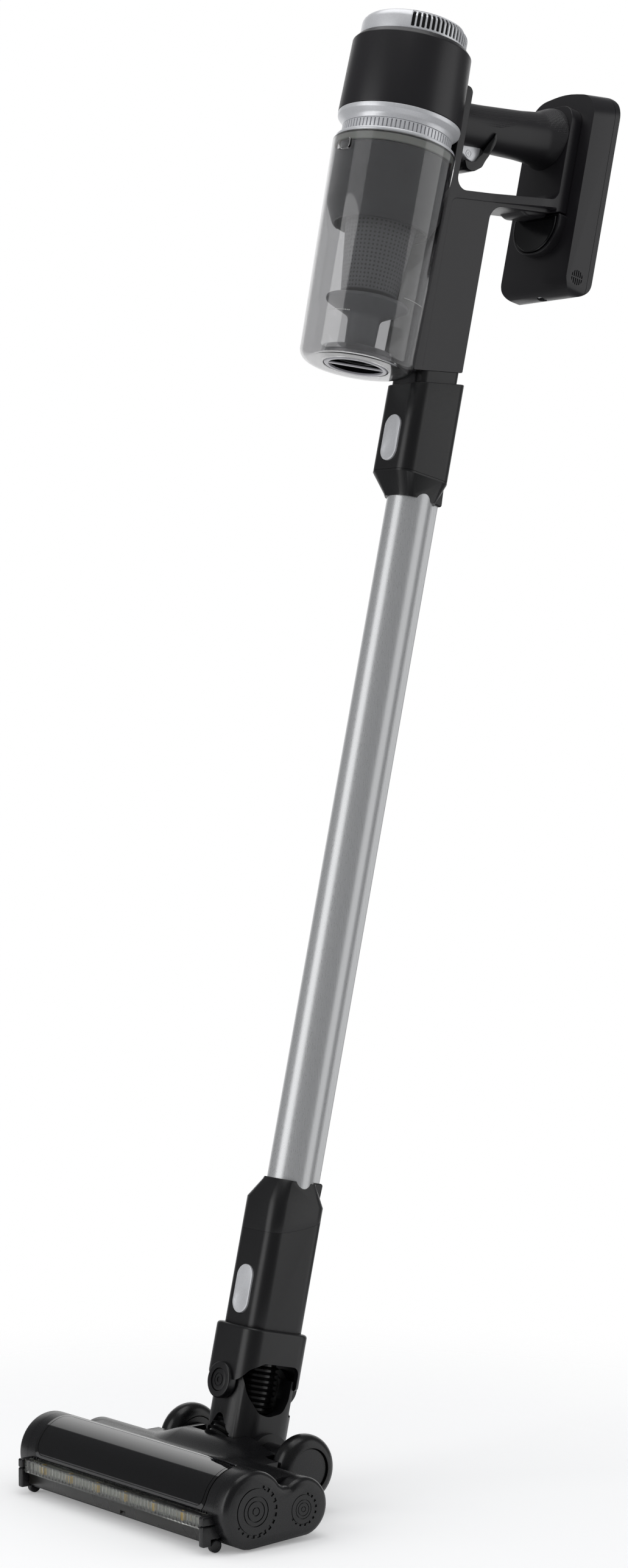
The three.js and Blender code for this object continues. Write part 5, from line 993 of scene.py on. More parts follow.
class VACUUM_OT_trigger(bpy.types.Operator):
    """Silver trigger and the black crescent that guards it"""
    bl_idname = "vacuum.trigger"
    bl_label = "Trigger and guard"

    def execute(self, context):
        radius = size("grip_radius")
        guard = prism("trigger_guard", [
            (-12, 1050.6, 0.8), (-8.4, 1044.2, 4), (-1, 1043.6, 6), (7.2, 1050.2, 7), (11.2, 1060.5, 8),
            (11, 1069, 8), (7, 1079, 0.6), (4.4, 1069, 4), (3.4, 1060, 5), (0, 1053.4, 4),
            (-5.6, 1050.6, 3)], "X", -GUARD_HALF, GUARD_HALF, 6)
        wide = GUARD_HALF - 0.4
        hood = prism("hood", [(-8.5, 1030), (8.5, 1030), (8.5, 1059, 12), (wide, 1074), (wide, 1090),
                              (-wide, 1090), (-wide, 1074), (-8.5, 1059, 12)], "Y", -40, 40, 6)
        common(guard, hood)
        soften(guard, 0.7, 3, 35)
        grip_room = move(turned("grip_room", [(0, -90), (radius + 0.3, -90), (radius + 0.3, along(0), 200),
                                              (radius + 1.9, along(44)), (0, along(44))], 0, 0, 128, 6), GRIP)
        pocket = prism("pocket", rounded(-30, 9.6, 1049.4, 1090, 3), "X", -SLOT_HALF, SLOT_HALF)
        carve(guard, grip_room, pocket)
        keep(guard, STICK, "vacuum", "gloss_black", "ABS polished black", "trigger_guard")
        trigger = prism("trigger", [(-15.8, 1066.5, 1), (-15, 1056.5, 3), (-7, 1052.6, 6), (1, 1051, 3.5),
                                    (4.6, 1058, 5), (4.9, 1067, 1)], "X", -TRIGGER_HALF, TRIGGER_HALF)
        soften(trigger, 2.2, 5, 30)
        low, high = TRIGGER_HALF - 0.75, TRIGGER_HALF + 0.3
        ring = turned_x("ring", [(2.2, low), (3.2, low), (3.2, high, 0.3), (2.2, high, 0.3)], -7, 1057.5, 32)
        stud = turned_x("stud", [(0, low), (1, low), (1, high - 0.05, 0.3), (0, high - 0.05)], -7, 1057.5, 24)
        twins = [copy(ring, "ring_twin", MIRROR), copy(stud, "stud_twin", MIRROR)]
        fuse(trigger, ring, stud, *twins)
        keep(trigger, STICK, "trigger", "satin_silver", "paint satin silver", "trigger")
        return {"FINISHED"}


# ---- handheld: battery -------------------------------------------------------------------------
def battery_body(name, inset):
    """The battery's outline, shrunk all round by the inset: half-round below, crowned and rising above."""
    front, back = BATTERY_FRONT + inset, BATTERY_BACK - inset
    half, low, top = size("battery_width") / 2 - inset, BATTERY_LOW + inset, BATTERY_TOP - inset
    bottom = (back - front) / 2 - 0.05
    side = prism(name, [(front, low, bottom), (back, low, bottom),
                        (back, top + (back - BATTERY_FRONT) * RISE, 10 - inset),
                        (front, top + (front - BATTERY_FRONT) * RISE)], "X", -half, half, 6)
    corners = outline([(-half, low, 9 - inset), (half, low, 9 - inset), (half, top - 6, 22 - inset),
                       (0, top + 0.5, 90), (-half, top - 6, 22 - inset)], 5)
    drop = 12 * RISE
    face = loft("face", [[Vector((x, front - 12, z - (drop if z > 1000 else 0))) for x, z in corners],
                         [Vector((x, back + 12, z + ((back - front + 12) * RISE if z > 1000 else 0)))
                          for x, z in corners]])
    return common(side, face)


def shield(name, half, low, high, corner, top_corner, front, back):
    """A plate that is half-round below and straight above."""
    return prism(name, [(-half, low, corner), (half, low, corner), (half, high, top_corner),
                        (-half, high, top_corner)], "Y", front, back, 6)


class VACUUM_OT_battery(bpy.types.Operator):
    """Battery case with its slotted vent, its rear cover and its half-round release tab"""
    bl_idname = "vacuum.battery"
    bl_label = "Battery"

    def execute(self, context):
        half = size("battery_width") / 2
        whole = battery_body("battery_case", 0)
        soften(whole, 2.6, 4, 40)
        carve(whole, battery_body("room", BATTERY_WALL))
        cover = copy(whole, "battery_cover")
        common(cover, box("rear", (-60, BATTERY_SEAM, 900), (60, 140, 1200)))
        keep(cover, STICK, "battery", "matt_black", "ABS spark eroded warm black", "battery_cover")
        common(whole, box("front", (-60, 60, 900), (60, BATTERY_SEAM - 0.35, 1200)))
        fuse(whole, soften(shield("boss", 28, 1000, 1033, 26, 2, 81, 89.5), 0.8, 3, 40))
        tab_room = shield("tab_room", 25.6, 1001.4, 1031.6, 24, 0, 78, 86.1)
        jack = rod("jack", "Z", 4.3, 960, 975, 0, CELL_Y, 48)
        slit = box("slit", (half - 5, CELL_Y - 7.3, VENT_Z - 7), (half + 5, CELL_Y - 6.2, VENT_Z + 7))
        slits = row(slit, "slits", 6, (0, 2.15, 0))
        common(slits, rod("vent", "X", 6.3, half - 6, half + 6, CELL_Y - 1.3, VENT_Z, 48))
        carve(slits, box("bar", (half - 6, CELL_Y - 9, VENT_Z - 0.5), (half + 6, CELL_Y + 7, VENT_Z + 0.5)))
        carve(whole, tab_room, jack, slits)
        keep(whole, STICK, "battery", "matt_black", "ABS spark eroded warm black", "battery_case")
        tab = soften(shield("battery_latch", 25, 1002, 1031, 23.5, 1, 79, 83), 0.7, 2, 40)
        carve(tab, soften(shield("dish", 24, 1003, 1035, 22.5, 0, 70, 79.5), 0.4, 2, 40))
        keep(tab, STICK, "battery_latch", "dark_plastic", "ABS polished black", "battery_latch")
        return {"FINISHED"}


# ---- wand --------------------------------------------------------------------------------------
def collar(centre, grow=0):
    half, deep = size("collar_width") / 2 + grow, size("collar_depth") / 2 + grow
    return rounded(-half, half, centre - deep, centre + deep, size("collar_corner") + grow)


def tube_section(name, grow, low, high):
    """The tube with the wire channel along its back."""
    tube = rod(name, "Z", size("tube_radius") + grow, low, high, 0, 0, 128)
    half, back = 9 + grow, size("rib_depth") + grow
    rib = prism("rib", [(-half, 0), (half, 0), (half, back, 2), (-half, back, 2)], "Z", low, high)
    return fuse(tube, rib)


def cone(name, centre, wide, narrow):
    """A collar's section that closes on the tube."""
    base = outline(collar(centre), 6)
    neck = size("tube_radius") + 2
    ring = [(Vector((p.x, p.y - centre))).normalized() * neck for p in base]
    middle = [p.lerp(q, 0.9) for p, q in zip(base, ring)]
    step = (narrow - wide) * 0.86
    return loft(name, [[Vector((*p, wide)) for p in base], [Vector((*p, wide + step)) for p in middle],
                       [Vector((*p, narrow)) for p in ring]])


def pill(name, grow, z, front, back, step):
    """The outline of a release button, wider all round by the amount to grow."""
    half, tall = size("button_width") / 2 + grow, size("button_height") / 2 + grow
    return prism(name, rounded(-half, half, z - tall, z + tall, half - 0.01), "Y", front, back, step)


def button_pocket(face, z):
    return pill("pocket", 0.35, z, face - 2, face + 6.4, 6)


def button(name, body, face, z):
    """Pill-shaped release button with a bevelled edge and a round dimple near its lower end."""
    cap = soften(pill(name, 0, z, face - 1.5, face + 3.5, 5), 1.3, 3, 50)
    middle = z + (size("button_width") - size("button_height")) / 2
    dimple = start("dimple", bpy.ops.mesh.primitive_uv_sphere_add, segments=128, ring_count=64, radius=40.5,
                   location=(0, face - 41.2, middle))
    carve(cap, dimple)
    keep(cap, STICK, body, "satin_silver", "paint satin silver", name)


class VACUUM_OT_tube(bpy.types.Operator):
    """Aluminium tube of the wand, with the wire channel down its back"""
    bl_idname = "vacuum.tube"
    bl_label = "Wand tube"

    def execute(self, context):
        tube = tube_section("wand_tube", 0, TUBE_LOW, TUBE_TOP)
        bore = rod("bore", "Z", size("tube_radius") - TUBE_WALL, TUBE_LOW - 5, TUBE_TOP + 5, 0, 0)
        wires = box("wires", (-7.7, 18.6, TUBE_LOW - 5), (7.7, size("rib_depth") - 1.3, TUBE_TOP + 5))
        carve(tube, bore, wires)
        keep(tube, STICK, "vacuum", "tube_aluminium", "aluminium satin anodised", "wand_tube")
        return {"FINISHED"}


class VACUUM_OT_collars(bpy.types.Operator):
    """Rounded collars at both ends of the wand, their cones and their release buttons"""
    bl_idname = "vacuum.collars"
    bl_label = "Wand collars"

    def execute(self, context):
        face = UPPER_Y - size("collar_depth") / 2
        upper = prism("wand_upper_collar", collar(UPPER_Y), "Z", UPPER_LOW, UPPER_TOP + 20, 5)
        carve(upper, past_line("above", UPPER_TOP, 1200))
        soften(upper, 0.7, 2, 40)
        carve(upper, rod("socket", "Z", 15.6, 827.9, 900, 0, DUCT_Y),
              rod("passage", "Z", 13.5, 780, 830, 0, DUCT_Y / 2),
              tube_section("seat", 0.1, 770, TUBE_TOP + 14), button_pocket(face, UPPER_BUTTON))
        keep(upper, STICK, "vacuum", "matt_black", "ABS spark eroded black", "wand_upper_collar")
        button("wand_release_button", "wand_button", face, UPPER_BUTTON)
        top = UPPER_LOW - 1.5
        closing = cone("wand_upper_cone", UPPER_Y, top, top - CONE_HEIGHT)
        rim = prism("rim", collar(UPPER_Y), "Z", top - 0.01, UPPER_LOW - 0.1, 6)
        cover = prism("cover", [(0, top - 15), (25.4, top - 17, 2), (24.4, top), (0, top)], "X", -11, 11)
        fuse(closing, rim, soften(cover, 1.5, 3, 40))
        soften(closing, 0.5, 2, 50)
        carve(closing, tube_section("seat", 0.1, top - 40, UPPER_LOW + 5))
        keep(closing, STICK, "vacuum", "matt_black", "ABS spark eroded black", "wand_upper_cone")
        base = LOWER_TOP - CONE_HEIGHT
        lower = prism("wand_lower_collar", collar(LOWER_Y), "Z", 160, base, 6)
        cover = prism("cover", [(0, base), (24.4, base), (25.4, LOWER_TOP + 1.5, 2), (0, LOWER_TOP + 0.5)],
                      "X", -11, 11)
        fuse(lower, cone("cone", LOWER_Y, base, LOWER_TOP), soften(cover, 1.5, 3, 40))
        common(lower, self.above_seam("above", 0.1))
        soften(lower, 0.5, 2, 50)
        carve(lower, rod("bore", "Z", 17, 150, TUBE_LOW + 1, 0, 0),
              tube_section("seat", 0.1, TUBE_LOW - 0.1, 230))
        keep(lower, STICK, "vacuum", "matt_black", "ABS spark eroded black", "wand_lower_collar")
        inlet = prism("head_inlet", collar(LOWER_Y), "Z", 80, 220, 5)
        carve(inlet, self.above_seam("above", 0))
        soften(inlet, 0.5, 2, 50)
        face = LOWER_Y - size("collar_depth") / 2
        carve(inlet, rod("bore", "Z", 17, 70, 230, 0, 0), button_pocket(face, LOWER_BUTTON))
        keep(inlet, STICK, "vacuum", "matt_black", "ABS spark eroded black", "head_inlet")
        button("head_release_button", "head_button", face, LOWER_BUTTON)
        return {"FINISHED"}

    def above_seam(self, name, shift):
        """The space above the seam of the lower collar: level in front, rising to the back."""
        deep = size("collar_depth")
        front = LOWER_Y - deep / 2
        low = SEAM_Z + shift
        curve = [(front + deep * k / 16, low + 15.7 * (k / 16) ** 1.6) for k in range(17)]
        near, far = front - 20, front + deep + 20
        end = [(far, 195 + shift), (far, 300), (near, 300), (near, low)]
        return prism(name, curve + end, "X", -60, 60)


# ---- neck --------------------------------------------------------------------------------------
def pivot_bar(name, radius, one_end, other_end, steps=96):
    """A round bar along the line that the neck rolls about."""
    return rod(name, "Y", radius, *sorted((one_end, other_end)), 0, ROLL_Z, steps)


class VACUUM_OT_neck(bpy.types.Operator):
    """Sleeve with its pivot bosses, and the yoke that it rolls on"""
    bl_idname = "vacuum.neck"
    bl_label = "Neck"

    def execute(self, context):
        half, deep = size("sleeve_width") / 2, size("sleeve_depth") / 2
        front, back = SLEEVE_Y - deep, SLEEVE_Y + deep
        sleeve = prism("neck_sleeve", rounded(-half, half, front, back, 13.3), "Z", ROLL_Z, SLEEVE_TOP, 5)
        soften(sleeve, 2.6, 4, 50)
        wall = SLEEVE_WALL
        hollow = rounded(-half + wall, half - wall, front + wall, back - wall, 9.3)
        carve(sleeve, prism("hollow", hollow, "Z", 20, 79.9, 5),
              prism("seat", collar(LOWER_Y, 0.1), "Z", 79.8, 120, 5), self.arch(front, back, 0))
        for name, face, side in (("front_pivot_pin", front, -1), ("back_pivot_pin", back, 1)):
            inner = face - wall * side
            fuse(sleeve, soften(pivot_bar("boss", BOSS_RADIUS, face + 3.5 * side, inner), 1.2, 3, 40))
            carve(sleeve, pivot_bar("hole", 9, face + 9 * side, inner - 9 * side))
            outer = face + 2.9 * side
            pin = soften(pivot_bar(name, 8.6, outer, inner - 4.3 * side), 0.5, 2, 40)
            ring = pivot_bar("ring", 5.2, outer + side, outer - 0.5 * side, 64)
            carve(ring, pivot_bar("core", 4.4, outer - 2, outer + 2, 64))
            carve(pin, ring, pivot_bar("dent", 2.2, outer + side, outer - 0.6 * side, 48))
            keep(pin, STICK, "vacuum", "dark_plastic", "ABS spark eroded black", name)
        keep(sleeve, STICK, "vacuum", "matt_black", "ABS spark eroded black", "neck_sleeve")
        self.yoke(front, back)
        return {"FINISHED"}

    def arch(self, front, back, room):
        """The opening through the sleeve's sides: a slope beside the front pivot, then level, then steep."""
        return prism("arch", [(front - 5, 47 - room), (-26.5, 65.5 - room, 10), (-14, 71.3 - room, 8),
                              (back - 8.3 - room, 71.3 - room, 7), (back - 8.3 - room, 20), (front - 5, 20)],
                     "X", -60, 60, 5)

    def yoke(self, front, back):
        inner, rear = front + 4.35, back - 4.35
        plan = rounded(-YOKE_HALF, YOKE_HALF, inner, YOKE_BACK, 20)
        half, top = BOSS_RADIUS, ROLL_Z + BOSS_RADIUS
        yoke = prism("neck_yoke", plan, "Z", 0, 60, 5)
        for low, high in ((inner, inner + 4), (rear - 4, rear)):
            tongue = prism("tongue", [(-half, 20), (half, 20), (half, top, half - 0.5),
                                      (-half, top, half - 0.5)], "Y", low, high, 5)
            fuse(yoke, common(tongue, prism("plan", plan, "Z", 0, 90, 5)))
        fuse(yoke, rod("barrel", "X", 19, -BARREL_HALF, BARREL_HALF, WAND_AHEAD, 0))
        self.swing(yoke, front, back)
        carve(yoke, rod("bore", "Z", 18.95, -4, 90, 0, 0),
              prism("mouth", [(-17, -25), (17, -25), (16, 8, 8), (0, 32, 5), (-16, 8, 8)], "Y", -100, 4),
              prism("window", [(-27, 64), (-21.7, 44.8, 24), (-11.5, 32.6, 10), (-1, 30.6, 12), (11.9, 35, 9),
                               (16.4, 45.7, 8), (17, 64)], "X", -60, 60, 5),
              pivot_bar("hole", 8.7, front - 20, back + 20),
              rod("axle", "X", AXLE_HOLE, -60, 60, WAND_AHEAD, 0))
        soften(yoke, 0.6, 2, 45)
        keep(yoke, STICK, "yoke", "matt_black", "ABS spark eroded black", "neck_yoke")

    def swing(self, yoke, front, back):
        """Takes away what the sleeve passes through when it rolls to either side."""
        half, gap = size("sleeve_width") / 2, 0.3
        wall = SLEEVE_WALL + gap
        outside = rounded(-half - gap, half + gap, front - gap, back + gap, 13.6)
        hollow = rounded(-half + wall, half - wall, front + wall, back - wall, 9)
        sweep = prism("sweep", outside, "Z", 36, 110, 5)
        carve(sweep, prism("hollow", hollow, "Z", 20, 79, 5), self.arch(front, back, gap))
        for low, high in ((front - 4, front + wall), (back - wall, back + 4)):
            fuse(sweep, pivot_bar("ear", BOSS_RADIUS + gap, low, high, 64))
        pivot = Matrix.Translation((0, 0, ROLL_Z))
        for roll in range(-ROLL, ROLL + 1, 4):
            turn = pivot @ Matrix.Rotation(math.radians(roll), 4, "Y") @ pivot.inverted()
            carve(yoke, copy(sweep, "rolled", turn))
        bpy.data.objects.remove(sweep, do_unlink=True)


class VACUUM_OT_hoses(bpy.types.Operator):
    """Ribbed hose through the neck, and its lower run into the head"""
    bl_idname = "vacuum.hoses"
    bl_label = "Neck hoses"

    def execute(self, context):
        pitch = size("hose_pitch")
        profile = self.ribs(22.1, 78, pitch)
        upper = turned("upper_hose", profile, 0, 0, 72)
        keep(upper, STICK, None, "rubber", "rubber moulded black", "upper_hose", smooth=50)
        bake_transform(upper)
        start_point = TILTED @ Vector((0, 0, 22))
        down = (TILTED @ Vector((0, 0, 21)) - start_point).normalized()
        end = Vector((0, HOSE_END_Y, HOSE_END_Z))
        bend = start_point + down * (start_point.z - HOSE_END_Z) / -down.z
        run = (bend - start_point).length + (end - bend).length
        lower = turned("lower_hose", self.ribs(0, run * 0.83, pitch * 0.92, 13.5), 0, 0, 64)
        path = self.path(start_point, bend, end)
        only(lower)
        bpy.ops.object.modifier_add(type="CURVE")
        lower.modifiers[-1].object = path
        lower.modifiers[-1].deform_axis = "POS_Z"
        bpy.ops.object.modifier_apply(modifier=lower.modifiers[-1].name)
        bpy.data.objects.remove(path, do_unlink=True)
        keep(lower, HEAD, None, "rubber", "rubber moulded black", "lower_hose", smooth=50)
        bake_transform(lower)
        return {"FINISHED"}

    def ribs(self, low, high, pitch, root=14.6):
        """A wall whose outside swells into round ribs."""
        count = max(1, round((high - low) / pitch))
        step = (high - low) / count
        swell = ((0.2, 0), (0.34, 1.7), (0.5, 2.7), (0.66, 1.7), (0.8, 0))
        outside = [(root, low)]
        for k in range(count):
            outside += [(root + out, low + step * k + step * part) for part, out in swell]
        return outside + [(root, high), (root - 1.4, high), (root - 1.4, low)]

    def path(self, first, bend, end):
        clear()
        bpy.ops.curve.primitive_bezier_curve_add(radius=1, enter_editmode=False, location=(0, 0, 0))
        path = bpy.context.object
        points = path.data.splines[0].bezier_points
        for point, place, handle in ((points[0], first, first.lerp(bend, 0.66)),
                                     (points[1], end, end.lerp(bend, 0.66))):
            point.handle_left_type = point.handle_right_type = "FREE"
            point.co = place
            point.handle_left = handle if point is points[1] else 2 * place - handle
            point.handle_right = handle if point is points[0] else 2 * place - handle
        path.data.resolution_u = 64
        path.data.twist_mode = "Z_UP"
        return path


# ---- cleaning head -----------------------------------------------------------------------------
def front_round(radius, first, last):
    return arc(BRUSH_Y, BRUSH_Z, radius, first, last, 3)


def rear_round(radius, first, last):
    return arc(REAR_Y, REAR_Z, radius, first, last, 4)


def head_outline():
    """Side outline of the head: round over the brush, a flat deck, round over the motor."""
    front, back = size("brush_housing"), size("rear_housing")
    return [*front_round(front, 262, 43), (56.4, 47, 5), *rear_round(back, 100, -82)]


def ends(side, inner, outer):
    """The two x values of a span on one side, in rising order."""
    return sorted((side * inner, side * outer))


def through(name, radius, y, z, steps=96):
    """A round hole across the whole head."""
    return rod(name, "X", radius, -REACH, REACH, y, z, steps)


def slab(name, low, high):
    """Everything of the head between two heights."""
    return box(name, (-REACH, -80, low), (REACH, 250, high))


def rind(name, outer, inner, over, half):
    """A strip round the brush between two radii, that many degrees longer than the window at each end."""
    low, high = WINDOW_HIGH - over, WINDOW_LOW + over
    return prism(name, [*front_round(outer, low, high), *front_round(inner, high, low)], "X", -half, half)


class VACUUM_OT_head_shell(bpy.types.Operator):
    """Cover and base of the cleaning head, with the saddle and cheeks that carry the neck"""
    bl_idname = "vacuum.head_shell"
    bl_label = "Head shells"

    def execute(self, context):
        wide = size("head_half") - CAP_DEPTH - 0.1
        whole = prism("head_cover", head_outline(), "X", -wide, wide)
        fuse(whole, self.saddle())
        cheeks = rod("cheeks", "X", 12.5, -CHEEK_HALF, CHEEK_HALF, AXLE_Y, AXLE_Z)
        ramp = prism("ramp", [(92, 12), (112, 12, 12), (136, 32, 14), (127, 44, 14), (110, 46.6, 16),
                              (92, 46.2)], "X", -CHEEK_HALF, CHEEK_HALF, 5)
        fuse(cheeks, ramp)
        soften(cheeks, 2.2, 3, 50)
        barrel = BARREL_HALF + 0.35
        room = rod("barrel_room", "X", 19.35, -barrel, barrel, AXLE_Y, AXLE_Z)
        slot = YOKE_HALF + 1.6
        swing = rod("yoke_swing", "X", 33, -slot, slot, AXLE_Y, AXLE_Z)
        fuse(swing, box("yoke_way", (-slot, 94.7, AXLE_Z), (slot, 200, 200)))
        fuse(room, box("barrel_way", (-barrel, AXLE_Y, -4), (barrel, 190, 100)))
        fuse(whole, cheeks)
        carve(whole, swing, room)
        for side in (-1, 1):
            low, high = ends(side, CHEEK_HALF + 0.1, 90)
            carve(whole, rod("wheel_room", "X", 28.8, low, high, AXLE_Y, AXLE_Z))
        base = copy(whole, "head_base")
        self.cover(whole, wide)
        self.base(base, wide)
        return {"FINISHED"}

    def saddle(self):
        """Raised bridge in front of the neck, which sinks into the deck on both sides."""
        loops = []
        for x in (-78, -72, -66, -59, -52, -45, -38, -30, 30, 38, 45, 52, 59, 66, 72, 78):
            away = min(1, max(0, (abs(x) - 27) / 43))
            high = 9.6 * (1 - away * away * (3 - 2 * away))
            top = []
            for k in range(25):
                y = 62 + 46 * k / 24
                near = min(1, max(0, (y - 64) / 27))
                top.append(Vector((x, y, 45.9 + high * near * near * (3 - 2 * near))))
            loops.append([*top, *(Vector((x, y, z)) for y, z in ((112, 44), (112, 16), (98, 10), (70, 10)))])
        return loft("saddle", loops)

    def rooms(self, piece, wide):
        """Everything that is hollow inside the head."""
        brush, motor = size("brush_housing") - SHELL, size("rear_housing") - SHELL
        inside = wide - 1.9
        motor_room = rod("motor_room", "X", motor, -inside, inside, REAR_Y, REAR_Z)
        fuse(motor_room, box("duct_room", (-inside, 62, 8), (inside, REAR_Y, 37)))
        carve(piece, rod("brush_room", "X", brush, -inside, inside, BRUSH_Y, BRUSH_Z), motor_room,
              rod("hose_way", "Y", 13.6, REAR_Y, AXLE_Y, 0, HOSE_END_Z),
              box("dust_way", (-13.5, 48, 16), (13.5, REAR_Y, 34)),
              box("mouth", (-112, 12, -10), (112, 50, 16)), through("axle", AXLE_HOLE, AXLE_Y, AXLE_Z, 48),
              through("brush_pin", 3.85, BRUSH_Y, BRUSH_Z, 48),
              rod("motor_pin", "X", 4, 0, REACH, REAR_Y, REAR_Z, 48))

    def lamp_room(self):
        half = LAMP_HALF + 0.1
        return box("lamp_room", (-half, -60, 5), (half, LAMP_BACK + 0.1, LAMP_TOP + 0.1))

    def corner(self, piece, wide, side, low, high):
        """A block beside the lamp bar, which closes a front corner of the head."""
        near, far = ends(side, LAMP_HALF + 0.1, wide)
        block = box("corner", (near, LAMP_FRONT - 2, low), (far, 14, high))
        soften(block, 1.2, 3)
        carve(block, through("brush_room", size("brush_housing") - SHELL, BRUSH_Y, BRUSH_Z))
        fuse(piece, block)

    def cover(self, piece, wide):
        brush = size("brush_housing")
        self.rooms(piece, wide)
        carve(piece, self.lamp_room(), slab("below", -20, SPLIT_Z))
        tooth = box("tooth", (-LAMP_HALF + 1, 1.5, LAMP_TOP - 0.2), (-LAMP_HALF + 2.6, 5.6, LAMP_TOP + 1.6))
        teeth = row(tooth, "teeth", 73, (3.2, 0, 0))
        opening = rind("opening", brush + 4, brush - 6, 0.5, WINDOW_HALF + 0.4)
        carve(piece, teeth, self.round_window(opening, 8.2))
        for side in (-1, 1):
            self.corner(piece, wide, side, SPLIT_Z, LAMP_TOP)
        keep(piece, HEAD, "floor_head", "matt_black", "ABS satin black", "head_cover", smooth=30)
        window = rind("roller_window", brush + 0.3, brush - 2, -0.2, WINDOW_HALF - 0.1)
        self.round_window(window, 8)
        groove = self.round_window(rind("groove", brush + 2, brush - 0.1, -5, WINDOW_HALF - 3), 7, 3)
        inside = self.round_window(rind("inside", brush + 3, brush - 1, -6.2, WINDOW_HALF - 3.6), 6.4, 3.6)
        carve(window, carve(groove, inside))
        soften(window, 0.35, 2, 60)
        keep(window, HEAD, "floor_head", "smoke_clear", "polycarbonate dark smoked", "roller_window")

    def round_window(self, piece, radius, inset=0):
        """Rounds the four corners of the window, seen square on to its middle."""
        middle = math.radians((WINDOW_HIGH + WINDOW_LOW) / 2)
        reach = 2 * size("brush_housing") * math.sin(math.radians((WINDOW_LOW - WINDOW_HIGH) / 2)) / 2
        half = WINDOW_HALF - inset + (0.4 if radius > 8 else -0.1)
        reach += 0.4 - inset * 0.75
        frame_shape = prism("corners", rounded(-half, half, -reach, reach, radius), "Z", 0, 60)
        turn = Matrix.Translation((0, BRUSH_Y, BRUSH_Z)) @ Matrix.Rotation(middle - math.pi / 2, 4, "X")
        return common(piece, move(frame_shape, turn))

    def base(self, piece, wide):
        brush = size("brush_housing")
        self.rooms(piece, wide)
        carve(piece, slab("above", SPLIT_Z - 0.1, 120), slab("sole", -20, SOLE_Z), self.lamp_room())
        nose = box("nose", (-LAMP_HALF - 2, STRIP_FRONT + 2.6, 5.6), (LAMP_HALF + 2, 12, SPLIT_Z - 0.1))
        carve(nose, through("brush_room", brush - SHELL, BRUSH_Y, BRUSH_Z), self.lamp_room())
        fuse(piece, nose)
        for side in (-1, 1):
            self.corner(piece, wide, side, 5.6, SPLIT_Z - 0.1)
            low, high = ends(side, CASTER_X - 2.85, REACH)
            carve(piece, box("well", (low, CASTER_Y - 6, -10), (high, CASTER_Y + 6, 11)))
            low, high = ends(side, 0, REACH)
            carve(piece, rod("caster_pin", "X", 1.6, low, high, CASTER_Y, CASTER_Z, 24))
        keep(piece, HEAD, "floor_head", "matt_black", "ABS satin black", "head_base", smooth=30)


class VACUUM_OT_end_caps(bpy.types.Operator):
    """End faces of the head, with a broad bevel and embossed gear outlines"""
    bl_idname = "vacuum.end_caps"
    bl_label = "End caps"

    def execute(self, context):
        inner, outer = size("head_half") - CAP_DEPTH, size("head_half")
        front, back = size("brush_housing"), size("rear_housing")
        cap = prism("drive_end_cap", [*front_round(front, 262, 43), (56.2, 46.4, 2.5), (60.5, 43.4, 4),
                                      *rear_round(back, 128, -82)], "X", inner, outer)
        pick_faces(cap, lambda place: place.x > outer - 0.1)
        bpy.ops.mesh.bevel(offset=4.6, offset_type="OFFSET", segments=4, profile=0.42, affect="EDGES")
        bpy.ops.object.mode_set(mode="OBJECT")
        face_out(cap)
        carve(cap, slab("sole", -20, SOLE_Z))
        hollow = rod("hollow", "X", front - 4, inner - 1, inner + 10, BRUSH_Y, BRUSH_Z)
        fuse(hollow, rod("rear_hollow", "X", back - 4, inner - 1, inner + 10, REAR_Y, REAR_Z),
             box("web_hollow", (inner - 1, BRUSH_Y, 12), (inner + 10, REAR_Y, 40.5)))
        carve(cap, hollow)
        for place, size_of, teeth in (((BRUSH_Y, BRUSH_Z), 1.0, 22), ((REAR_Y - 2, REAR_Z - 1), 0.64, 16)):
            self.emboss(cap, outer, *place, size_of, teeth)
        idle = copy(cap, "idle_end_cap", MIRROR)
        keep(cap, HEAD, "floor_head", "gloss_black", "ABS satin black", "drive_end_cap", smooth=25)
        keep(idle, HEAD, "floor_head", "gloss_black", "ABS satin black", "idle_end_cap", smooth=25)
        return {"FINISHED"}

    def emboss(self, cap, face, y, z, scale, teeth):
        """A toothed outline over the front half, and plain rings inside it."""
        depth = 1.0
        gear = prism("gear", arc(y, z, 17.6 * scale, 60, 300, 6), "X", face - depth, face + 1)
        tooth = box("tooth", (face - depth, y - 19.6 * scale, z - 1.5 * scale),
                    (face + 1, y - 16.5 * scale, z + 1.5 * scale))
        step = 360 / teeth
        count = round(220 / step) + 1
        edit(tooth)
        bpy.ops.mesh.select_all(action="SELECT")
        bpy.ops.transform.rotate(value=math.radians(110), orient_axis="X", center_override=(0, y, z))
        bpy.ops.mesh.spin(steps=count - 1, angle=math.radians(220), center=(0, y, z), axis=(1, 0, 0),
                          dupli=True)
        bpy.ops.object.mode_set(mode="OBJECT")
        fuse(gear, tooth)
        carve(gear, rod("inside", "X", 16.7 * scale, face - 5, face + 5, y, z))
        carve(cap, gear)
        for radius in (10.6, 7.2, 2.6):
            ring = rod("ring", "X", (radius + 0.8) * scale, face - depth, face + 1, y, z, 72)
            carve(ring, rod("inside", "X", radius * scale, face - 5, face + 5, y, z, 72))
            carve(cap, ring)


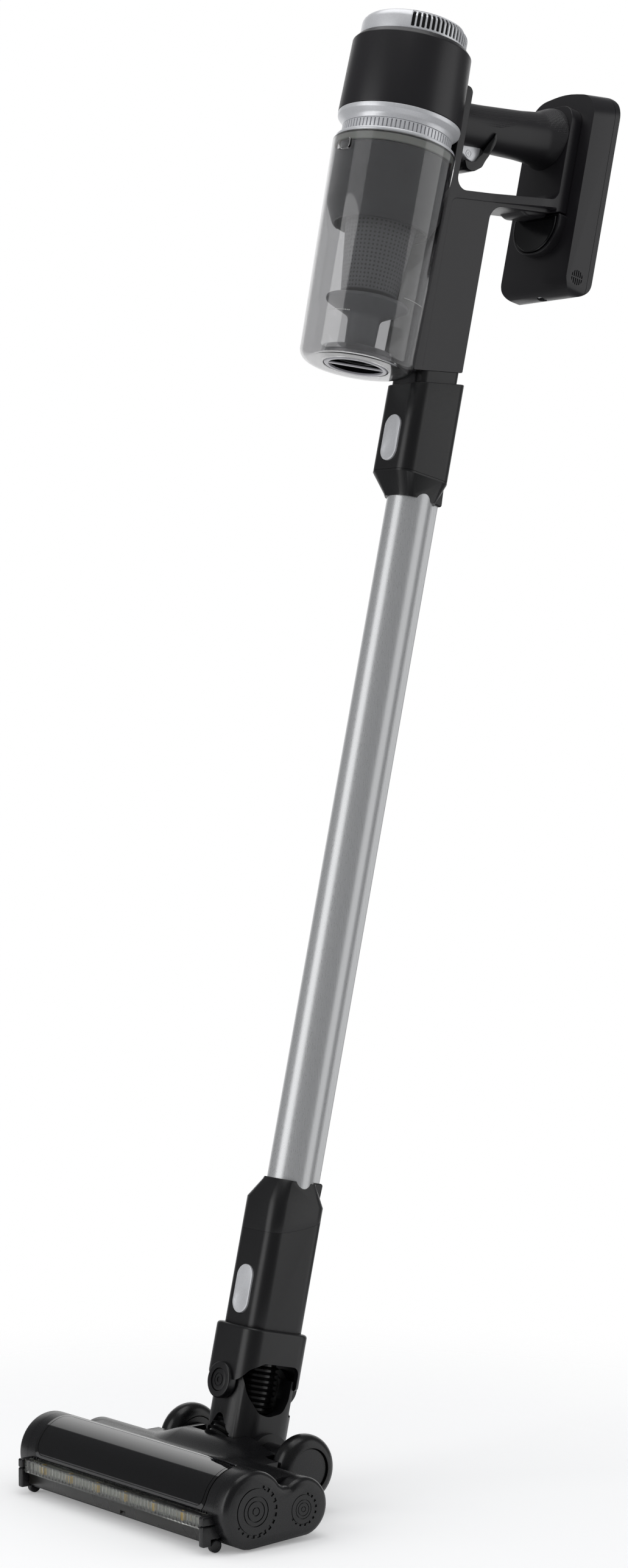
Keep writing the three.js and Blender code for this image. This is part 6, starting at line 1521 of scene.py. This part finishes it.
class VACUUM_OT_lamp(bpy.types.Operator):
    """Lamp bar of clear ribbed blocks with yellow lamps, and the dark strip below it"""
    bl_idname = "vacuum.lamp"
    bl_label = "Lamp bar"

    def execute(self, context):
        lens = box("lamp_lens", (-LAMP_HALF, LAMP_FRONT, LAMP_LOW), (LAMP_HALF, LAMP_BACK, LAMP_TOP))
        soften(lens, 0.5, 2)
        carve(lens, box("pocket", (-LAMP_HALF + 2, LAMP_FRONT + 2.4, LAMP_LOW + 2),
                        (LAMP_HALF - 2, LAMP_BACK + 1, LAMP_TOP - 2)))
        groove = box("groove", (-LAMP_HALF + 3.2, LAMP_FRONT - 1, LAMP_LOW + 1),
                     (-LAMP_HALF + 4.1, LAMP_FRONT + 1.2, LAMP_TOP - 1))
        carve(lens, row(groove, "grooves", 51, (4.56, 0, 0)))
        keep(lens, HEAD, "floor_head", "smoke_clear", "polycarbonate clear lens", "lamp_lens")
        rear = LAMP_BACK - 1.5
        board = box("lamp_board", (-LAMP_HALF + 2.5, rear - 1.6, LAMP_LOW + 2.4),
                    (LAMP_HALF - 2.5, rear, LAMP_TOP - 2.4))
        keep(soften(board, 0.2, 1), HEAD, "floor_head", "lamp_board", "circuit laminate white", "lamp_board")
        count, pitch = size("lamp_count"), size("lamp_pitch")
        first = -pitch * (count - 1) / 2
        lamp = box("lamps", (first - 1.6, rear - 4.2, LAMP_LOW + 2.2),
                   (first + 1.6, rear - 1.5, LAMP_TOP - 2.2))
        lamps = row(soften(lamp, 0.5, 2), "lamps", count, (pitch, 0, 0))
        keep(lamps, HEAD, "floor_head", "lamp_board", "phosphor yellow")
        strip = box("front_strip", (-LAMP_HALF, STRIP_FRONT, STRIP_LOW),
                    (LAMP_HALF, STRIP_FRONT + 2.6, LAMP_LOW - 0.1))
        soften(strip, 0.4, 2)
        carve(strip, prism("notch", [(7, 6), (16, 6), (14.6, 11), (8.4, 11)], "Y", -10, 20))
        keep(strip, HEAD, "floor_head", "smoke_clear", "polycarbonate frosted strip", "front_strip")
        return {"FINISHED"}


class VACUUM_OT_brush(bpy.types.Operator):
    """Brush roller: ribbons of nylon pile wound round the core"""
    bl_idname = "vacuum.brush"
    bl_label = "Brush roller"

    def execute(self, context):
        loops = []
        half = 111
        for k in range(75):
            x = -half + 2 * half * k / 74
            turn = 2.2 * k
            loop = []
            for j in range(72):
                angle = math.radians(5 * j)
                wave = 0.5 + 0.5 * math.cos(6 * (angle - math.radians(turn)))
                radius = 15.6 + 5.3 * min(1, wave * 1.9)
                loop.append(Vector((x, BRUSH_Y + radius * math.cos(angle),
                                    BRUSH_Z + radius * math.sin(angle))))
            loops.append(loop)
        pile = loft("brush_fibre", loops)
        carve(pile, rod("core_room", "X", 15.1, -130, 130, BRUSH_Y, BRUSH_Z, 48))
        keep(pile, HEAD, "brush_roller", "brush_fibre", "nylon brush fibre", "brush_fibre", smooth=45)
        return {"FINISHED"}


class VACUUM_OT_wheels(bpy.types.Operator):
    """Two round rear wheels with flat hubs, and two small casters under the front corners"""
    bl_idname = "vacuum.wheels"
    bl_label = "Wheels"

    def execute(self, context):
        rim, hub = size("wheel_radius"), size("hub_radius")
        inner, outer = WHEEL_INNER, WHEEL_OUTER
        tyre = turned_x("right_tyre", [(hub + 0.3, inner, 1), (rim, inner, 9), (rim, outer, 9.4),
                                       (hub + 0.3, outer, 0.4)], AXLE_Y, AXLE_Z, 128, 8)
        disc = turned_x("right_hub", [(AXLE_HOLE, inner, 0.5), (hub, inner, 0.5), (hub, outer - 1.6, 1.2),
                                      (0, outer - 1.6), (0, outer - 5), (AXLE_HOLE, outer - 5)],
                        AXLE_Y, AXLE_Z)
        near, far = CASTER_X - 2.5, CASTER_X + 2.5
        caster = turned_x("right_caster", [(0, near - 4), (1.5, near - 4), (1.5, near), (5, near, 1.2),
                                           (5, far, 1.2), (0, far)], CASTER_Y, CASTER_Z, 48)
        for piece, part, slot, finish in ((tyre, "tyre", "tyre", "polyurethane tyre black"),
                                          (disc, "hub", "dark_plastic", "ABS satin black"),
                                          (caster, "caster", "tyre", "polyurethane tyre black")):
            twin = copy(piece, f"left_{part}", MIRROR)
            for side, made in (("right", piece), ("left", twin)):
                body = f"{side}_caster" if part == "caster" else f"{side}_wheel"
                keep(made, HEAD, body, slot, finish, f"{side}_{part}")
        return {"FINISHED"}


# ---- carried-over pieces -----------------------------------------------------------------------
CARRIED = {
    "exhaust_filter": "polyester felt charcoal",
    "motor_can": "steel motor case",
    "impeller": "steel zinc plated",
    "trigger_switch": "ABS satin black",
    "cell_pack": "PVC shrink film blue",
    "battery_board": "circuit laminate green",
    "charge_socket": "steel zinc plated",
    "brush_core": "nylon glass filled dark grey",
    "brush_motor": "steel motor case",
    "motor_pulley": "steel zinc plated",
    "drive_belt": "rubber moulded black",
    "left_axle": "steel zinc plated",
    "right_axle": "steel zinc plated",
}


class VACUUM_OT_finishes(bpy.types.Operator):
    """Makes every finish, and gives the inner pieces theirs"""
    bl_idname = "vacuum.finishes"
    bl_label = "Finishes"

    def execute(self, context):
        make_finishes(context.scene.vacuum_colours)
        for name, finish in CARRIED.items():
            piece = bpy.data.objects[name]
            piece.data.materials.clear()
            piece.data.materials.append(bpy.data.materials[finish])
        return {"FINISHED"}


# ---- studio ------------------------------------------------------------------------------------
CAMERA_TURN = 51.8             # degrees in plan from the front of the vacuum to the camera
TO_CAMERA = Vector((math.sin(math.radians(CAMERA_TURN)), -math.cos(math.radians(CAMERA_TURN)), 0))


class VACUUM_OT_stage(bpy.types.Operator):
    """Pale floor that fades out, soft boxes and the camera"""
    bl_idname = "vacuum.stage"
    bl_label = "Studio"

    def execute(self, context):
        floor_height = (HEAD @ Vector((0, 0, 0))).z
        clear()
        bpy.ops.mesh.primitive_circle_add(vertices=96, radius=1.6, fill_type="NGON",
                                          location=(0, -0.3, floor_height))
        floor = bpy.context.object
        floor.name = "floor"
        bpy.ops.object.transform_apply(location=True)
        floor.data.materials.append(self.floor_finish())
        self.world()
        self.lamp("key", -62, 1.9, 0.1, 1.3, 2.6, 1.6)
        self.lamp("fill", 84, 2.0, 0.0, 1.5, 2.6, 0.8)
        self.lamp("top", -30, 0.0, 1.5, 1.7, 1.2, 1.4)
        self.camera()
        return {"FINISHED"}

    def floor_finish(self):
        """White paper: lit softly, and white to the camera except where the vacuum shades it."""
        tree, shader, place = blank("paper white", {"Roughness": 0.9, "Base Color": linear("f4f4f4"),
                                                    "Emission Color": (1, 1, 1, 1)})
        ray = node(tree, "ShaderNodeLightPath")
        seen = node(tree, "ShaderNodeMath", {0: ray.outputs["Is Camera Ray"], 1: 0.22}, operation="MULTIPLY")
        tree.links.new(seen.outputs[0], shader.inputs["Emission Strength"])
        grain(tree, shader, place, 4, 0.02, 0.9)
        centred = node(tree, "ShaderNodeMapping", {"Vector": place, "Location": (0, 0.3, 0),
                                                   "Scale": (1.0, 1.0, 0.0)})
        distance = node(tree, "ShaderNodeVectorMath", {0: centred.outputs["Vector"]}, operation="LENGTH")
        fade = node(tree, "ShaderNodeMapRange", {"Value": distance.outputs["Value"], "From Min": 0.3,
                                                 "From Max": 0.8}, interpolation_type="SMOOTHSTEP")
        nothing = node(tree, "ShaderNodeBsdfTransparent")
        mix = node(tree, "ShaderNodeMixShader", {0: fade.outputs["Result"], 1: shader.outputs["BSDF"],
                                                 2: nothing.outputs["BSDF"]})
        output = next(item for item in tree.nodes if item.type == "OUTPUT_MATERIAL")
        tree.links.new(mix.outputs["Shader"], output.inputs["Surface"])
        return bpy.data.materials["paper white"]

    def world(self):
        """A white backdrop behind and to the camera, and a dimmer room round the rest of the vacuum."""
        world = bpy.data.worlds.new("studio")
        bpy.context.scene.world = world
        world.use_nodes = True
        tree = world.node_tree
        tree.nodes.clear()
        ray = node(tree, "ShaderNodeLightPath")
        way = node(tree, "ShaderNodeTexCoord").outputs["Generated"]
        away = node(tree, "ShaderNodeVectorMath", {0: way, 1: (-TO_CAMERA.x, -TO_CAMERA.y, 0)},
                    operation="DOT_PRODUCT")
        behind = node(tree, "ShaderNodeMapRange", {"Value": away.outputs["Value"], "From Min": 0.7,
                                                   "From Max": 0.97}, interpolation_type="SMOOTHSTEP")
        mirrored = node(tree, "ShaderNodeMath", {0: ray.outputs["Is Glossy Ray"],
                                                 1: behind.outputs["Result"]}, operation="MULTIPLY")
        direct = node(tree, "ShaderNodeMath", {0: ray.outputs["Is Camera Ray"],
                                               1: ray.outputs["Is Transmission Ray"]}, operation="MAXIMUM")
        seen = node(tree, "ShaderNodeMath", {0: direct.outputs[0], 1: mirrored.outputs[0]},
                    operation="MAXIMUM")
        strength = node(tree, "ShaderNodeMapRange", {"Value": ray.outputs["Is Glossy Ray"], "To Min": 0.6,
                                                     "To Max": 0.16})
        room = node(tree, "ShaderNodeBackground", {"Color": linear("f4f5f7"),
                                                   "Strength": strength.outputs["Result"]})
        paper = node(tree, "ShaderNodeBackground", {"Color": (1, 1, 1, 1), "Strength": 1.0})
        mix = node(tree, "ShaderNodeMixShader", {0: seen.outputs[0], 1: room.outputs["Background"],
                                                 2: paper.outputs["Background"]})
        node(tree, "ShaderNodeOutputWorld", {"Surface": mix.outputs["Shader"]})

    def lamp(self, name, turn, away, above, width, height, brightness):
        """A soft box that faces the middle of the vacuum, turned by degrees to the right of the camera."""
        middle = Vector((0, -0.2, -0.45))
        side = Matrix.Rotation(math.radians(turn), 3, "Z") @ TO_CAMERA * away
        clear()
        bpy.ops.object.light_add(type="AREA", location=middle + side + Vector((0, 0, above)))
        lamp = bpy.context.object
        lamp.name = name
        lamp.data.shape = "RECTANGLE"
        lamp.data.size = width
        lamp.data.size_y = height
        lamp.data.energy = brightness * math.pi * width * height
        aim = middle - lamp.location
        lamp.rotation_euler = aim.to_track_quat("-Z", "Y").to_euler()

    def camera(self):
        clear()
        bpy.ops.object.camera_add(location=HEAD @ Vector((2066, -1429, 627)))
        camera = bpy.context.object
        around_up, above, roll = (math.radians(angle) for angle in (CAMERA_TURN, 1.52, -0.18))
        back = Vector((math.sin(around_up) * math.cos(above), -math.cos(around_up) * math.cos(above),
                       math.sin(above)))
        right = Vector((math.cos(around_up), math.sin(around_up), 0))
        up = back.cross(right)
        turned_right = math.cos(roll) * right + math.sin(roll) * up
        turned_up = math.cos(roll) * up - math.sin(roll) * right
        camera.rotation_euler = Matrix((turned_right, turned_up, back)).transposed().to_euler()
        camera.data.lens = 76.3
        camera.data.sensor_width = 36
        bpy.context.scene.camera = camera
        bpy.context.scene.view_settings.view_transform = "Standard"


# ---- sidebar and making ------------------------------------------------------------------------
STEPS = (VACUUM_OT_finishes, VACUUM_OT_exhaust_cap, VACUUM_OT_motor_housing, VACUUM_OT_dust_cup,
         VACUUM_OT_cyclone, VACUUM_OT_cup_knob, VACUUM_OT_handle_frame, VACUUM_OT_grip, VACUUM_OT_trigger,
         VACUUM_OT_battery, VACUUM_OT_tube, VACUUM_OT_collars, VACUUM_OT_neck, VACUUM_OT_hoses,
         VACUUM_OT_head_shell, VACUUM_OT_end_caps,
         VACUUM_OT_lamp, VACUUM_OT_brush, VACUUM_OT_wheels, VACUUM_OT_stage)


class VACUUM_PT_sidebar(bpy.types.Panel):
    """Sizes, colours and the pieces, in the order in which they are made"""
    bl_idname = "VACUUM_PT_sidebar"
    bl_label = "Stick vacuum"
    bl_space_type = "VIEW_3D"
    bl_region_type = "UI"
    bl_category = "Vacuum"

    def draw(self, context):
        for group in (context.scene.vacuum_sizes, context.scene.vacuum_colours):
            column = self.layout.column(align=True)
            for name in group.bl_rna.properties.keys():
                if name not in ("rna_type", "name"):
                    column.prop(group, name)
        column = self.layout.column(align=True)
        for step in STEPS:
            column.operator(step.bl_idname)


CLASSES = (VacuumSizes, VacuumColours, *STEPS, VACUUM_PT_sidebar)


def register():
    for kind in CLASSES:
        bpy.utils.register_class(kind)
    bpy.types.Scene.vacuum_sizes = bpy.props.PointerProperty(type=VacuumSizes)
    bpy.types.Scene.vacuum_colours = bpy.props.PointerProperty(type=VacuumColours)


def unregister():
    del bpy.types.Scene.vacuum_colours
    del bpy.types.Scene.vacuum_sizes
    for kind in reversed(CLASSES):
        bpy.utils.unregister_class(kind)


def main():
    register()
    for step in STEPS:
        getattr(bpy.ops.vacuum, step.bl_idname.split(".")[1])()
    clear()


if __name__ == "__main__":
    main()
